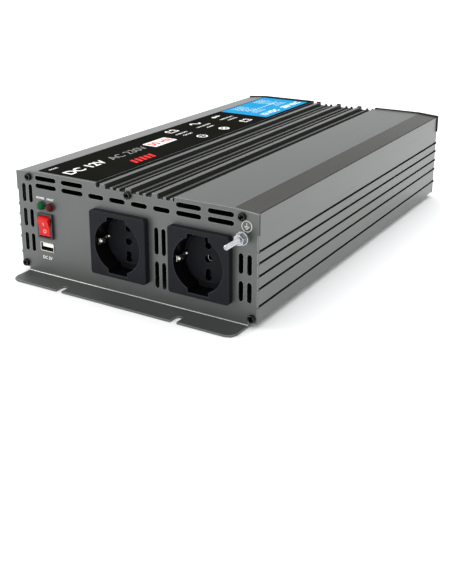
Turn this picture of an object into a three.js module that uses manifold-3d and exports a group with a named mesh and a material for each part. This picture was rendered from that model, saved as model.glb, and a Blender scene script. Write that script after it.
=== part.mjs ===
// Power inverter: an extruded aluminium case between two folded end plates, with two earthed mains
// outlets, a rocker switch, a USB outlet, two lamps and an earth stud on the front, and two fans and
// four cable clamps on the rear. Millimetres, +X right, +Y to the rear, +Z up. The origin is on the
// ground plane under the middle of the case, and the front looks along -Y.
import * as THREE from "three";
import { mergeVertices } from "three/addons/utils/BufferGeometryUtils.js";
import Module from "manifold-3d";

const wasm = await Module();
wasm.setup();

// ---- driving dimensions ----
const bodyLength = 352; // outer face of one end plate to outer face of the other
const bodyWidth = 207; // across the shoulders of the end plates
const caseTop = 80.8; // flat top of the case above the ground
const gap = 0.3; // between pieces that touch
const slip = 0.1; // between a sheet and what it lies on
const over = 1; // how far a cutting tool or a hidden root runs past its piece

const plateThickness = 1.5;
const plateCornerRise = 4; // lower corners of the end plates above the ground
const rearPlateStand = 0.9; // the rear plate's top edge above the case
const shoulderHeight = 14.2; // the wider band at the top of each end plate
const shoulderStep = 1;
const bumpOut = 0.8; // small bumps on the plate's edge beside each side groove
const bumpHeight = 2.6;
const footReach = 20; // foot flange beyond the end plate
const footInset = 7.6; // from the shoulder to the end of the foot
const footCorner = 6;
const footCornerCut = 0.3; // set-back of the corner's middle, as a share of its radius
const footSlotSpacing = 100;
const footSlotWidth = 5.4;
const footSlotDepth = 9;
const foldOuter = 2.6;
const foldInner = 0.6;
const foldOverlap = 0.6;
const reliefHeight = 6.9;
const reliefWidth = 0.8;

const ridgeInset = 19; // from the shoulder to the ridge where the top starts to fall
const ridgeFall = 1.6;
const panelWall = 3;
const finWall = 3;
const sideWall = 4.4;
const caseRise = 4.6; // lower edge of the extrusion above the ground
const grooveHeight = 2;
const grooveDepth = 2;
const grooveRise = [15.4, 27.7, 36.6, 45.5, 53.6]; // centres of the side grooves above the ground

const finLeft = -28.1; // the fin field starts here
const finRight = 39.4; // and the right-hand flat panel here
const finPitch = 22.4;
const finFirst = -22.1; // centre of the first wide fin
const wideFin = 3.7;
const wideFinDrop = 0.2;
const smallFin = 1.7;
const smallFinOffsets = [8.3, 13.9]; // from each wide fin
const smallFinRise = 1.8;
const finValley = 3.4; // depth of the valleys under the flat top
const finDraft = 0.45;

const topScrewInset = 12.3;
const topScrewDrop = 4.8;
const lowScrewInset = 4.7;
const lowScrewRise = 2.6; // above the extrusion's lower edge
const screwHead = 2.9;
const screwHeadHeight = 1.9;
const screwHeadRim = 0.5; // upright rim, as a share of the head's height
const screwHeadFlat = 0.7; // flat top, as a share of the head's radius
const screwShank = 1.45;
const screwLength = 11;
const screwHole = 1.75;
const crossWidth = 0.7;
const crossLength = 3.2;
const crossDepth = 1.1;
const bossRadius = 3.9;
const bossRoot = 0.4; // how far the bosses stay under the surface that they hang from

const floorThickness = 2;
const floorSlotRise = 1.4; // slot that holds the floor, above the extrusion's lower edge
const floorSlotDepth = 4.4;
const railInner = 12.7; // from the shoulder to the inner edge of the lower rail
const railHeight = 6.2;

const ventWidth = 3.7;
const sideVentInsets = [6.8, 13.2]; // the two columns from the shoulder
const sideVentTopDrop = 10.2; // top of the highest side vent under the case top
const sideVentLow = 17.3; // bottom of the lowest side vent
const ventBridge = 4.5; // metal left between two vents in a column
const upperRowDrop = 4.8;
const lowerRowDrop = 10.7;
const rowInset = 18.2; // ends of the vent rows from the shoulder
const rowBridge = 4.6;
const shortVent = 14.2;
const middleVentSpread = 3; // the two columns between the outlets, from their middle
const middleVentLow = 12.2;
const middleVentTop = 57;

const socketInset = 43.5; // right-hand outlet from the shoulder
const socketSpacing = 67;
const socketRise = 38.2;
const socketProud = 5.2;
const socketCorner = 2.2;
const socketBodyDepth = 21.8;
const socketBodyWall = 1.6;
const recessRadius = 19.7; // takes a standard earthed plug
const socketSideRim = 4.4; // face beside the recess
const socketEndRim = 4.2; // face above and below it
const socketBodyRim = 2.1; // body behind the plate, outside the recess
const recessDepth = 15;
const recessFloor = 2.5;
const guideWidth = 16.4;
const guideBeyond = 1.2; // the flat guides reach past the round recess
const earthPinRadius = 2.9;
const pinNear = 9.5; // pin centres of the two plug systems from the middle
const pinFar = 13;
const pinNearRadius = 2.5;
const pinFarRadius = 2.8;
const earthArmWidth = 4.5;
const earthArmThickness = 0.7;
const earthArmBulge = 2.3;
const earthSlotWidth = 2.2;
const earthSlotHeight = 5.5;
const earthArmKnee = [0.75, 0.25]; // bends of the arm, as shares of the depth to the recess floor
const earthArmTip = [0.4, 0.45]; // tip off the wall, and its share of the moulding's rise
const earthRingRim = 1.4; // metal round the bracket's middle hole
const earthRingGrip = 0.3; // by which that hole is smaller than the pin hole
const contactWall = 0.8;
const leadHole = 1.8;
const leadRise = 6; // lead holes above the lower edge of the cover
const leadSpacing = 8;
const socketCoverThickness = 2;

const controlInset = 26.9; // middle of the switch and lamps from the left shoulder
const lampLift = 5.7; // centres of the lamps above the bezel
const lampShift = 1.3; // middle of the lamps to the right of the switch
const lampSpacing = 8.8;
const lampRadius = 3.2;
const lampProud = 4.6;
const lampFlange = 3.8;
const lampFlangeHeight = 1.2;
const lampBody = 4;
const lampNeck = 2.8;

const switchRise = 40.2;
const bezelSideLap = 0.95; // bezel past the housing
const bezelEndLap = 0.85;
const bezelProud = 2;
const bezelCorner = 0.8;
const housingSideWall = 0.75;
const housingEndWall = 0.45;
const housingDepth = 13;
const rockerWidth = 10.4;
const rockerSwing = 8.2; // radius of the rocker's ends about its pivot
const rockerEnd = 6.4; // height of the rocker's tip from its middle
const rockerMiddle = 3.9; // pivot to the lowest line of the face
const rockerTail = 2;
const rockerTilt = THREE.MathUtils.degToRad(10); // each way from level
const pivotDepth = 3.4; // pivot behind the bezel's front
const rockerClearance = 0.25;
const trunnionRadius = 1;
const trunnionReach = 0.6;

const usbDrop = 6.9; // middle of the USB outlet under the bezel
const usbWidth = 12.9;
const usbHeight = 7;
const usbWall = 0.5;
const usbCorner = 0.8;
const hairline = 0.01; // overlap where two shapes of one piece are joined
const usbDepth = 13;
const usbProud = 0.6;
const usbTongueWidth = 10.2;
const usbTongueHeight = 2.8;
const usbTongueLift = 1.1;
const usbTongueBack = 0.4;

const earthInset = 10;
const earthRise = 63;
const earthReach = 24.3; // tip of the earth stud in front of the plate
const earthRadius = 1.95;
const earthTail = 9;
const earthWasher = 4.7;
const earthWasherThickness = 1.5;
const earthNutFlat = 3.5; // half across the flats
const earthNutHeight = 3.6;
const studChamfer = 0.5;

const fanSize = 60;
const fanDepth = 25;
const fanFloorGap = 3.1; // above the floor plate
const fanSideGap = 2.1; // from the inside of the case wall
const fanWall = 1.7;
const fanTipGap = 1;
const fanHub = 11;
const fanBlades = 7;
const fanCorner = 4;
const fanScrewMargin = 5; // screw centres from the edge of the frame
const fanScrewHole = 2.1;
const fanStruts = 3;
const strutDepth = 3;
const strutWidth = 3;
const motorRadius = 8.5;
const rotorSetback = 1.5; // rotor behind the frame's face
const rotorGap = 1; // and in front of the struts
const bladeInset = 1.5; // blades shorter than the hub at each end
const bladeThickness = 1.6;
const bladeTurn = -0.95; // radians at the middle of a blade
const bladeTwist = 0.35; // from its root to its tip
const grilleCount = 3;
const grillePitch = 6;
const grilleSlot = 3.6;
const grilleSpoke = 3.4;

const clampSpread = 15; // each column of cable clamps from the middle
const clampRises = [29.3, 53.3];
const clampRadius = 7.5;
const clampReach = 22.2;
const clampNeck = 5;
const clampNeckHole = 5.4;
const clampTail = 12;
const clampBore = 4.7;
const clampBoreDepth = 17;
const clampScrewRadius = 2.8;
const clampScrewBack = 8; // clamp screw from the post's outer end
const clampScrewProud = 2;
const clampKey = 1.5;
const clampKeyDepth = 1.25;
const insulatorWidth = 26;
const insulatorHeight = 50;
const insulatorThickness = 3;
const insulatorCorner = 3;

const boardThickness = 1.6;
const boardRise = 6; // board above the floor
const boardSide = 25; // from the shoulder to the board's edge
const boardFront = 42; // from the end plates' outer faces
const boardBack = 60;
const spacerWidth = 8;
const spacerInset = 6;
const spreaderThickness = 5;
const spreaderHeight = 34;
const spreaderLength = 170;
const transformerSize = [46, 42, 36];
const windingSize = [30, 56, 28];
const capacitorRadius = 11;
const capacitorHeight = 34;
const chokeRadius = 15;
const chokeTube = 5;
const chokeInset = 32; // from the front edge of the board
const capacitorInset = 20; // from its rear edge
const labelThickness = 0.3;
const labelMargin = 0.8;

// ---- places worked out from them ----
const cavityWidth = rockerWidth + 2 * rockerClearance;
const cavityHeight = 2 * (rockerSwing + rockerClearance);
const housingWidth = cavityWidth + 2 * housingSideWall;
const housingHeight = cavityHeight + 2 * housingEndWall;
const bezelWidth = housingWidth + 2 * bezelSideLap;
const bezelHeight = housingHeight + 2 * bezelEndLap;
const lampRise = switchRise + bezelHeight / 2 + lampLift;
const usbRise = switchRise - bezelHeight / 2 - usbDrop;
const guideReach = recessRadius + guideBeyond;
const socketWidth = 2 * (recessRadius + socketSideRim);
const socketHeight = 2 * (recessRadius + socketEndRim);
const socketBodyWidth = 2 * (recessRadius + socketBodyRim);
const socketBodyHeight = 2 * (guideReach + socketBodyWall);
const halfWidth = bodyWidth / 2;
const plateBand = halfWidth - shoulderStep; // the plate's edge below the shoulder
const frontFace = -bodyLength / 2;
const rearFace = bodyLength / 2;
const shoulderRise = caseTop - shoulderHeight - ridgeFall;
const finTop = caseTop - finValley;
const caseInner = plateBand - sideWall;
const floorLow = caseRise + floorSlotRise;
const floorTop = floorLow + slip + floorThickness;
const boardLow = floorTop + boardRise;
const boardTop = boardLow + boardThickness;
const footHalf = halfWidth - footInset;
const screwPlaces = [
  [-(halfWidth - topScrewInset), caseTop - topScrewDrop],
  [finFirst + finPitch, caseTop - topScrewDrop],
  [halfWidth - topScrewInset, caseTop - topScrewDrop],
  [-(halfWidth - lowScrewInset), caseRise + lowScrewRise],
  [halfWidth - lowScrewInset, caseRise + lowScrewRise],
];
const socketRight = halfWidth - socketInset;
const socketLeft = socketRight - socketSpacing;
const controlX = controlInset - halfWidth;
const fanX = caseInner - fanSideGap - fanSize / 2;
const fanRise = floorTop + fanFloorGap + fanSize / 2;
const fanBore = fanSize / 2 - fanWall;
const fanTip = fanBore - fanTipGap;
const fanScrewSpacing = fanSize - 2 * fanScrewMargin;
const grilleOuter = fanBore - grilleSlot / 2 - fanWall - fanTipGap;
const grilleRings = Array.from({ length: grilleCount }, (_, i) => grilleOuter - i * grillePitch);
const grilleCentre = grilleRings[grilleCount - 1] - grilleSlot - grilleSpoke / 2;
const fanBack = plateThickness + gap; // fan behind the rear plate's outer face

// ---- finishes ----
const finish = (color, roughness, metalness) => ({ color, roughness, metalness });
const anodised = finish(0x7c7e7a, 0.42, 0.85);
const paintedSteel = finish(0x6f716d, 0.5, 0.6);
const blackSteel = finish(0x191918, 0.4, 0.6);
const labelFilm = finish(0x1c1c18, 0.35, 0);
const blackPlastic = finish(0x323237, 0.6, 0);
const glossBlack = finish(0x16161a, 0.25, 0);
const redPlastic = finish(0xe1231e, 0.35, 0);
const springMetal = finish(0xc8c6be, 0.3, 1);
const brass = finish(0xc9a44c, 0.35, 1);
const whitePlastic = finish(0xe6e2d8, 0.5, 0);
const greenLens = finish(0x0e7a3c, 0.15, 0);
const redLens = finish(0x6e0f14, 0.15, 0);
const boardGreen = finish(0x1f5a38, 0.5, 0);
const ferrite = finish(0x3a3a3c, 0.7, 0);
const copper = finish(0xb06a3a, 0.4, 0.9);
const sleeveBlue = finish(0x1d2c4d, 0.4, 0);
const rawAluminium = finish(0xb8babb, 0.35, 0.9);

// ---- helpers ----
const point = (x, y) => new THREE.Vector2(x, y);

function arc(x, y, radius, from, to, steps) {
  return Array.from({ length: steps + 1 }, (_, i) => {
    const a = from + ((to - from) * i) / steps;
    return point(x + radius * Math.cos(a), y + radius * Math.sin(a));
  });
}

const circle = (x, y, radius, steps) =>
  arc(x, y, radius, 0, 2 * Math.PI, steps).slice(0, -1);

const rectangle = (x, y, width, height) => [
  point(x - width / 2, y - height / 2),
  point(x + width / 2, y - height / 2),
  point(x + width / 2, y + height / 2),
  point(x - width / 2, y + height / 2),
];

function roundedRectangle(x, y, width, height, radius, steps = 3) {
  const a = width / 2 - radius;
  const b = height / 2 - radius;
  const quarter = Math.PI / 2;
  return [
    ...arc(x + a, y - b, radius, -quarter, 0, steps),
    ...arc(x + a, y + b, radius, 0, quarter, steps),
    ...arc(x - a, y + b, radius, quarter, 2 * quarter, steps),
    ...arc(x - a, y - b, radius, 2 * quarter, 3 * quarter, steps),
  ];
}

// A slot with round ends between two points on the same upright or level line.
function slot(x0, y0, x1, y1, width, steps = 3) {
  const r = width / 2;
  const along = Math.atan2(y1 - y0, x1 - x0);
  const quarter = Math.PI / 2;
  return [
    ...arc(x1, y1, r, along - quarter, along + quarter, steps),
    ...arc(x0, y0, r, along + quarter, along + 3 * quarter, steps),
  ];
}

function slab(outline, holes, depth) {
  const shape = new THREE.Shape(outline);
  shape.holes = holes.map((hole) => new THREE.Path(hole));
  return new THREE.ExtrudeGeometry(shape, { depth, bevelEnabled: false });
}

// Outline in X and Z, running rearwards from y for the depth.
const acrossY = (outline, holes, y, depth) =>
  slab(outline, holes, depth).rotateX(Math.PI / 2).translate(0, y + depth, 0);

// Outline in Y and Z, running along +X from x for the depth.
const acrossX = (outline, x, depth) =>
  slab(outline, [], depth).rotateZ(Math.PI / 2).rotateY(Math.PI / 2).translate(x, 0, 0);

// Outline in X and Y, running up from z for the depth.
const acrossZ = (outline, holes, z, depth) =>
  slab(outline, holes, depth).translate(0, 0, z);

const box = (x, y, z, width, depth, height) =>
  new THREE.BoxGeometry(width, depth, height).translate(x, y, z);

// A cylinder along Y from y0 to y1.
const rod = (x, z, radius, y0, y1, steps) =>
  acrossY(circle(x, z, radius, steps), [], y0, y1 - y0);

function solid(geometry) {
  const bare = geometry.clone();
  bare.deleteAttribute("normal");
  bare.deleteAttribute("uv");
  const merged = mergeVertices(bare, 1e-4);
  return new wasm.Manifold(
    new wasm.Mesh({
      numProp: 3,
      vertProperties: new Float32Array(merged.attributes.position.array),
      triVerts: new Uint32Array(merged.index.array),
    }),
  );
}

function surface(shape) {
  const { vertProperties, triVerts } = shape.getMesh();
  const geometry = new THREE.BufferGeometry();
  geometry.setAttribute("position", new THREE.BufferAttribute(vertProperties, 3));
  geometry.setIndex(new THREE.BufferAttribute(triVerts, 1));
  return geometry;
}

const join = (...parts) => surface(parts.map(solid).reduce((a, b) => a.add(b)));
const cut = (base, ...tools) =>
  surface(tools.map(solid).reduce((a, b) => a.subtract(b), solid(base)));

const inverter = new THREE.Group();

function place(name, geometry, look, parent = inverter) {
  const material = new THREE.MeshStandardMaterial(look);
  const mesh = new THREE.Mesh(geometry, material);
  mesh.name = name;
  parent.add(mesh);
  return mesh;
}

// ---- case extrusion ----
// The top line from left to right, with the fin field between the two flat panels.
function topLine(edge) {
  const ridge = halfWidth - ridgeInset;
  const edgeTop = caseTop - ridgeFall;
  const line = [point(-edge, edgeTop), point(-ridge, caseTop), point(finLeft, caseTop)];
  line.push(point(finLeft + finDraft, finTop));
  const fin = (centre, width, top) => {
    const half = width / 2;
    line.push(point(centre - half - finDraft, finTop), point(centre - half, top));
    line.push(point(centre + half, top), point(centre + half + finDraft, finTop));
  };
  for (let i = 0; i < 3; i += 1) {
    const wide = finFirst + i * finPitch;
    fin(wide, wideFin, caseTop - wideFinDrop);
    for (const offset of smallFinOffsets) fin(wide + offset, smallFin, finTop + smallFinRise);
  }
  line.push(point(finRight - finDraft, finTop), point(finRight, caseTop));
  line.push(point(ridge, caseTop), point(edge, edgeTop));
  return line;
}

// The right-hand side from the top down, with a square groove at each height.
function grooveLine() {
  const half = grooveHeight / 2;
  return [...grooveRise].reverse().flatMap((z) => [
    point(plateBand, z + half),
    point(plateBand - grooveDepth, z + half),
    point(plateBand - grooveDepth, z - half),
    point(plateBand, z - half),
  ]);
}

const mirrored = (line) => [...line].reverse().map((p) => point(-p.x, p.y));

function caseExtrusion() {
  const rail = halfWidth - railInner;
  const slotTop = floorLow + floorThickness + 2 * slip;
  const inside = [
    point(rail, caseRise),
    point(rail, floorLow),
    point(rail + floorSlotDepth, floorLow),
    point(rail + floorSlotDepth, slotTop),
    point(rail, slotTop),
    point(rail, caseRise + railHeight),
    point(caseInner, caseRise + railHeight),
    point(caseInner, caseTop - ridgeFall - panelWall),
    point(halfWidth - ridgeInset, caseTop - panelWall),
  ];
  const outline = [
    ...topLine(plateBand),
    ...grooveLine(),
    point(plateBand, caseRise),
    ...inside,
    point(finRight + panelWall, caseTop - panelWall),
    point(finRight, finTop - finWall),
    point(finLeft, finTop - finWall),
    point(finLeft - panelWall, caseTop - panelWall),
    ...mirrored(inside),
    point(-plateBand, caseRise),
    ...mirrored(grooveLine()),
  ];
  const start = frontFace + plateThickness + gap;
  const length = bodyLength - 2 * (plateThickness + gap);
  const boss = ([x, z], i) => {
    const root = (i === 1 ? finTop : caseTop - ridgeFall) - bossRoot;
    const corners = [point(x + bossRadius, root), point(x - bossRadius, root)];
    const hanging = [...arc(x, z, bossRadius, Math.PI, 2 * Math.PI, 6), ...corners];
    return acrossY(hanging, [], start, length);
  };
  const bores = screwPlaces.map(([x, z]) =>
    rod(x, z, screwHole, start - over, start + length + over, 12),
  );
  const bosses = screwPlaces.slice(0, 3).map(boss);
  return cut(join(acrossY(outline, [], start, length), ...bosses), ...bores);
}
place("case_extrusion", caseExtrusion(), anodised);

// ---- floor ----
const floorLength = bodyLength - 2 * (plateThickness + gap);
const floorWidth = 2 * (halfWidth - railInner + floorSlotDepth - gap);
const floorPlate = new THREE.BoxGeometry(floorWidth, floorLength, floorThickness);
place("floor_plate", floorPlate, paintedSteel).position.z = floorLow + slip + floorThickness / 2;

// ---- end plates ----
// The edge of an end plate: the case's top line raised by a stand, shoulders, and a small bump
// beside each groove.
function plateOutline(stand) {
  const bumps = [...grooveRise].reverse().flatMap((z) => [
    point(plateBand, z + bumpHeight / 2),
    point(plateBand + bumpOut, z + bumpHeight / 4),
    point(plateBand + bumpOut, z - bumpHeight / 4),
    point(plateBand, z - bumpHeight / 2),
  ]);
  const rightEdge = [
    point(halfWidth, shoulderRise),
    point(plateBand, shoulderRise - shoulderStep / 2),
    ...bumps,
    point(plateBand, plateCornerRise),
    point(footHalf + reliefWidth, plateCornerRise),
    point(footHalf + reliefWidth, reliefHeight),
  ];
  const topEdge = topLine(halfWidth).map((p) => point(p.x, p.y + stand));
  return [...topEdge, ...rightEdge, ...mirrored(rightEdge)];
}

// The foot flange seen from above, running along -Y from the plate, with its two open slots.
function footOutline(face, way) {
  const reach = face + way * footReach;
  const round = way * footCorner;
  const right = [
    point(footHalf, face + way * foldOuter),
    point(footHalf, reach - round),
    point(footHalf - footCorner * footCornerCut, reach - round * footCornerCut),
    point(footHalf - footCorner, reach),
  ];
  const slotSide = (x) => {
    const end = reach - way * (footSlotDepth - footSlotWidth / 2);
    const r = footSlotWidth / 2;
    const bend = arc(0, 0, r, 0, Math.PI, 6).map((p) => point(x + p.x, end - way * p.y));
    return [point(x + r, reach), ...bend, point(x - r, reach)];
  };
  const half = footSlotSpacing / 2;
  const left = right.map((p) => point(-p.x, p.y)).reverse();
  return [...right, ...slotSide(half), ...slotSide(-half), ...left];
}

// The bend between plate and foot, seen from the side.
function foldOutline(face, way) {
  const inner = face - way * plateThickness;
  const quarter = Math.PI / 2;
  const outside = arc(0, 0, foldOuter, 0, quarter, 4).map((p) =>
    point(inner + way * (foldOuter - p.x), foldOuter - p.y),
  );
  const inside = arc(0, 0, foldInner, 0, quarter, 3).map((p) =>
    point(face + way * (foldInner - p.x), plateThickness + foldInner - p.y),
  );
  const high = reliefHeight + foldOverlap;
  const reach = face + way * (foldOuter + foldOverlap);
  return [
    point(inner, high),
    ...outside,
    point(reach, 0),
    point(reach, plateThickness),
    ...inside.reverse(),
    point(face, high),
  ];
}

function endPlate(face, way, stand, holes) {
  const start = Math.min(face, face - way * plateThickness);
  const blank = acrossY(plateOutline(stand), [], start, plateThickness);
  const punches = holes.map((hole) => acrossY(hole, [], start - over, plateThickness + 2 * over));
  const sheet = cut(blank, ...punches);
  const fold = acrossX(foldOutline(face, way), -footHalf, 2 * footHalf);
  const foot = acrossZ(footOutline(face, way), [], 0, plateThickness);
  return join(sheet, fold, foot);
}

const screwHoles = () => screwPlaces.map(([x, z]) => circle(x, z, screwHole, 12));

// Columns of upright vents between a lowest and a highest level.
function ventColumn(x, low, high, count) {
  const length = (high - low - (count - 1) * ventBridge) / count;
  const r = ventWidth / 2;
  return Array.from({ length: count }, (_, i) => {
    const z = low + i * (length + ventBridge);
    return slot(x, z + r, x, z + length - r, ventWidth);
  });
}

// The two rows of level vents under the top edge: long pairs outside, short single ones inside.
function ventRows() {
  const bridges = 7;
  const shorts = 4;
  const span = bodyWidth - 2 * rowInset;
  const longVent = (span - bridges * rowBridge - shorts * shortVent) / 4;
  const r = ventWidth / 2;
  const rows = [];
  let x = rowInset - halfWidth;
  for (const kind of ["long", "long", "short", "short", "short", "short", "long", "long"]) {
    const length = kind === "long" ? longVent : shortVent;
    const drops = kind === "long" ? [upperRowDrop, lowerRowDrop] : [lowerRowDrop];
    for (const drop of drops) {
      rows.push(slot(x + r, caseTop - drop, x + length - r, caseTop - drop, ventWidth));
    }
    x += length + rowBridge;
  }
  return rows;
}

const sideVentTop = caseTop - sideVentTopDrop;
const sideVentPitch = (sideVentTop - sideVentLow + ventBridge) / 3;
const middleVentX = (socketLeft + socketRight) / 2;

function frontHoles() {
  const holes = [...screwHoles(), ...ventRows()];
  const rightTop = sideVentLow + 2 * sideVentPitch - ventBridge;
  for (const inset of sideVentInsets) {
    holes.push(...ventColumn(inset - halfWidth, sideVentLow, sideVentTop, 3));
    holes.push(...ventColumn(halfWidth - inset, sideVentLow, rightTop, 2));
  }
  for (const side of [-1, 1]) {
    const x = middleVentX + side * middleVentSpread;
    holes.push(...ventColumn(x, middleVentLow, middleVentTop, 2));
    const lampX = controlX + lampShift + (side * lampSpacing) / 2;
    holes.push(circle(lampX, lampRise, lampRadius + slip, 16));
  }
  for (const x of [socketLeft, socketRight]) {
    const width = socketBodyWidth + 2 * gap;
    holes.push(rectangle(x, socketRise, width, socketBodyHeight + 2 * gap));
  }
  const switchHole = [housingWidth + 2 * gap, housingHeight + 2 * gap];
  holes.push(rectangle(controlX, switchRise, ...switchHole));
  holes.push(rectangle(controlX, usbRise, usbWidth + 2 * gap, usbHeight + 2 * gap));
  holes.push(circle(halfWidth - earthInset, earthRise, earthRadius + gap, 12));
  return holes;
}
place("front_plate", endPlate(frontFace, -1, 0, frontHoles()), anodised);

// A fan grille: rings of curved slots between four spokes, with the four screw holes round it.
function grilleHoles(x) {
  const holes = [circle(x, fanRise, grilleCentre, 12)];
  for (const ring of grilleRings) {
    const outer = ring + grilleSlot / 2;
    const inner = ring - grilleSlot / 2;
    for (let quarter = 0; quarter < 4; quarter += 1) {
      const middle = (quarter * Math.PI) / 2 + Math.PI / 4;
      const spread = (r) => Math.PI / 4 - Math.asin(grilleSpoke / 2 / r);
      const near = arc(x, fanRise, outer, middle - spread(outer), middle + spread(outer), 4);
      const far = arc(x, fanRise, inner, middle + spread(inner), middle - spread(inner), 3);
      holes.push([...near, ...far]);
    }
  }
  const s = fanScrewSpacing / 2;
  for (const [a, b] of [[-s, -s], [s, -s], [s, s], [-s, s]]) {
    holes.push(circle(x + a, fanRise + b, fanScrewHole, 8));
  }
  return holes;
}

function rearHoles() {
  const holes = [...screwHoles(), ...grilleHoles(-fanX), ...grilleHoles(fanX)];
  for (const x of [-clampSpread, clampSpread]) {
    for (const z of clampRises) holes.push(circle(x, z, clampNeckHole, 16));
  }
  return holes;
}
place("rear_plate", endPlate(rearFace, 1, rearPlateStand, rearHoles()), anodised);

// ---- end plate screws ----
// Pan head with a cross recess, standing along +Z with the underside of its head at 0.
function panHeadScrew() {
  const profile = [
    point(0, -screwLength),
    point(screwShank, -screwLength),
    point(screwShank, 0),
    point(screwHead, 0),
    point(screwHead, screwHeadHeight * screwHeadRim),
    point(screwHead * screwHeadFlat, screwHeadHeight),
    point(0, screwHeadHeight),
  ];
  const turned = new THREE.LatheGeometry(profile, 10).rotateX(Math.PI / 2);
  const middle = screwHeadHeight + (over - crossDepth) / 2;
  const bar = box(0, 0, middle, crossLength, crossWidth, crossDepth + over);
  return cut(turned, bar, bar.clone().rotateZ(Math.PI / 2));
}
const ends = { front: [frontFace, 1], rear: [rearFace, -1] };
for (const [end, [face, way]] of Object.entries(ends)) {
  screwPlaces.forEach(([x, z], i) => {
    const screw = place(`${end}_plate_screw_${i + 1}`, panHeadScrew(), blackSteel);
    screw.position.set(x, face - way * slip, z);
    screw.rotation.x = (way * Math.PI) / 2;
  });
}

// ---- top label ----
const labelLeft = ridgeInset + labelMargin - halfWidth;
const labelRight = finLeft - labelMargin;
const labelLength = bodyLength - 2 * (plateThickness + gap + labelMargin);
const labelSheet = new THREE.BoxGeometry(labelRight - labelLeft, labelLength, labelThickness);
const labelX = (labelLeft + labelRight) / 2;
const label = place("top_label", labelSheet, labelFilm);
label.position.set(labelX, 0, caseTop + slip + labelThickness / 2);

// ---- mains outlets ----
// Each is built with its middle at X 0, Z 0 and the plate's outer face at Y 0.
const pinHoles = () => [1, -1].flatMap((side) => [
  [0, side * pinNear, pinNearRadius],
  [0, side * pinFar, pinFarRadius],
]);

function socketMoulding() {
  const face = roundedRectangle(0, 0, socketWidth, socketHeight, socketCorner);
  const front = acrossY(face, [], -socketProud, socketProud - slip);
  const bodyStart = -2 * slip;
  const body = box(
    0,
    (bodyStart + socketBodyDepth) / 2,
    0,
    socketBodyWidth,
    socketBodyDepth - bodyStart,
    socketBodyHeight,
  );
  const recessEnd = recessDepth - socketProud;
  const well = rod(0, 0, recessRadius, -socketProud - over, recessEnd, 28);
  const guides = box(
    0,
    (recessEnd - socketProud - over) / 2,
    0,
    guideWidth,
    recessDepth + over,
    2 * guideReach,
  );
  const through = [[0, 0, earthPinRadius], ...pinHoles()].map(([x, z, r]) =>
    rod(x, z, r, recessEnd - over, recessEnd + recessFloor + over, 12),
  );
  const armX = recessRadius - earthArmThickness / 2 - gap;
  const armSlots = [-1, 1].map((side) =>
    box(side * armX, recessEnd, 0, earthSlotWidth, 2 * (recessFloor + over), earthSlotHeight),
  );
  const chamberStart = recessEnd + recessFloor;
  const chamber = box(
    0,
    (chamberStart + socketBodyDepth + over) / 2,
    0,
    socketBodyWidth - 2 * socketBodyWall,
    socketBodyDepth + over - chamberStart,
    socketBodyHeight - 2 * socketBodyWall,
  );
  return cut(join(front, body), well, guides, ...through, ...armSlots, chamber);
}

// Spring arms along both sides of the recess, joined behind its floor round the earth pin.
function earthBracket() {
  const recessEnd = recessDepth - socketProud;
  const back = recessEnd + recessFloor + gap;
  const half = earthArmThickness / 2;
  const wall = recessRadius - gap - earthArmThickness / 2;
  const middle = [
    [wall, back + 2 * half],
    [wall, recessEnd * earthArmKnee[0]],
    [wall - earthArmBulge, recessEnd * earthArmKnee[1]],
    [wall - earthArmTip[0], -socketProud * earthArmTip[1]],
  ];
  const arm = (side) => {
    const outline = [
      ...middle.map(([x, y]) => point(side * (x - half), y)),
      ...[...middle].reverse().map(([x, y]) => point(side * (x + half), y)),
    ];
    return acrossZ(outline, [], -earthArmWidth / 2, earthArmWidth);
  };
  const barOutline = rectangle(0, 0, 2 * (wall + half), earthArmWidth);
  const bar = acrossY(barOutline, [], back, 2 * half);
  const ring = rod(0, 0, earthPinRadius + earthRingRim, back, back + 2 * half, 16);
  const grip = earthPinRadius - earthRingGrip;
  const bore = rod(0, 0, grip, back - over, back + 2 * half + over, 12);
  return cut(join(bar, ring, arm(1), arm(-1)), bore);
}

// A brass sleeve that takes either pin spacing.
function pinContact(side) {
  const start = recessDepth - socketProud + recessFloor + gap;
  const reach = socketBodyDepth - gap - start;
  const low = Math.min(side * pinNear, side * pinFar);
  const high = Math.max(side * pinNear, side * pinFar);
  const inner = slot(0, low, 0, high, 2 * pinFarRadius, 5);
  const outer = slot(0, low, 0, high, 2 * (pinFarRadius + contactWall), 5);
  return acrossY(outer, [inner], start, reach);
}

function socketCover() {
  const width = socketBodyWidth - gap;
  const start = socketBodyDepth + gap;
  const leads = [-leadSpacing, 0, leadSpacing].map((x) =>
    circle(x, leadRise - socketBodyHeight / 2, leadHole, 8),
  );
  const outline = rectangle(0, 0, width, socketBodyHeight - gap);
  return acrossY(outline, leads, start, socketCoverThickness);
}

for (const [side, x] of [["left", socketLeft], ["right", socketRight]]) {
  const socket = new THREE.Group();
  socket.position.set(x, frontFace, socketRise);
  place(`socket_${side}`, socketMoulding(), blackPlastic, socket);
  place(`socket_${side}_earth_clip`, earthBracket(), springMetal, socket);
  place(`socket_${side}_line_contact`, pinContact(1), brass, socket);
  place(`socket_${side}_neutral_contact`, pinContact(-1), brass, socket);
  place(`socket_${side}_rear_cover`, socketCover(), blackPlastic, socket);
  inverter.add(socket);
}

// ---- power switch ----
// Built with the pivot at X 0, Y 0, Z 0; the bezel's front is pivotDepth in front of it.
const bezelFront = -pivotDepth;
const bezelBack = bezelFront + bezelProud - slip;

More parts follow.
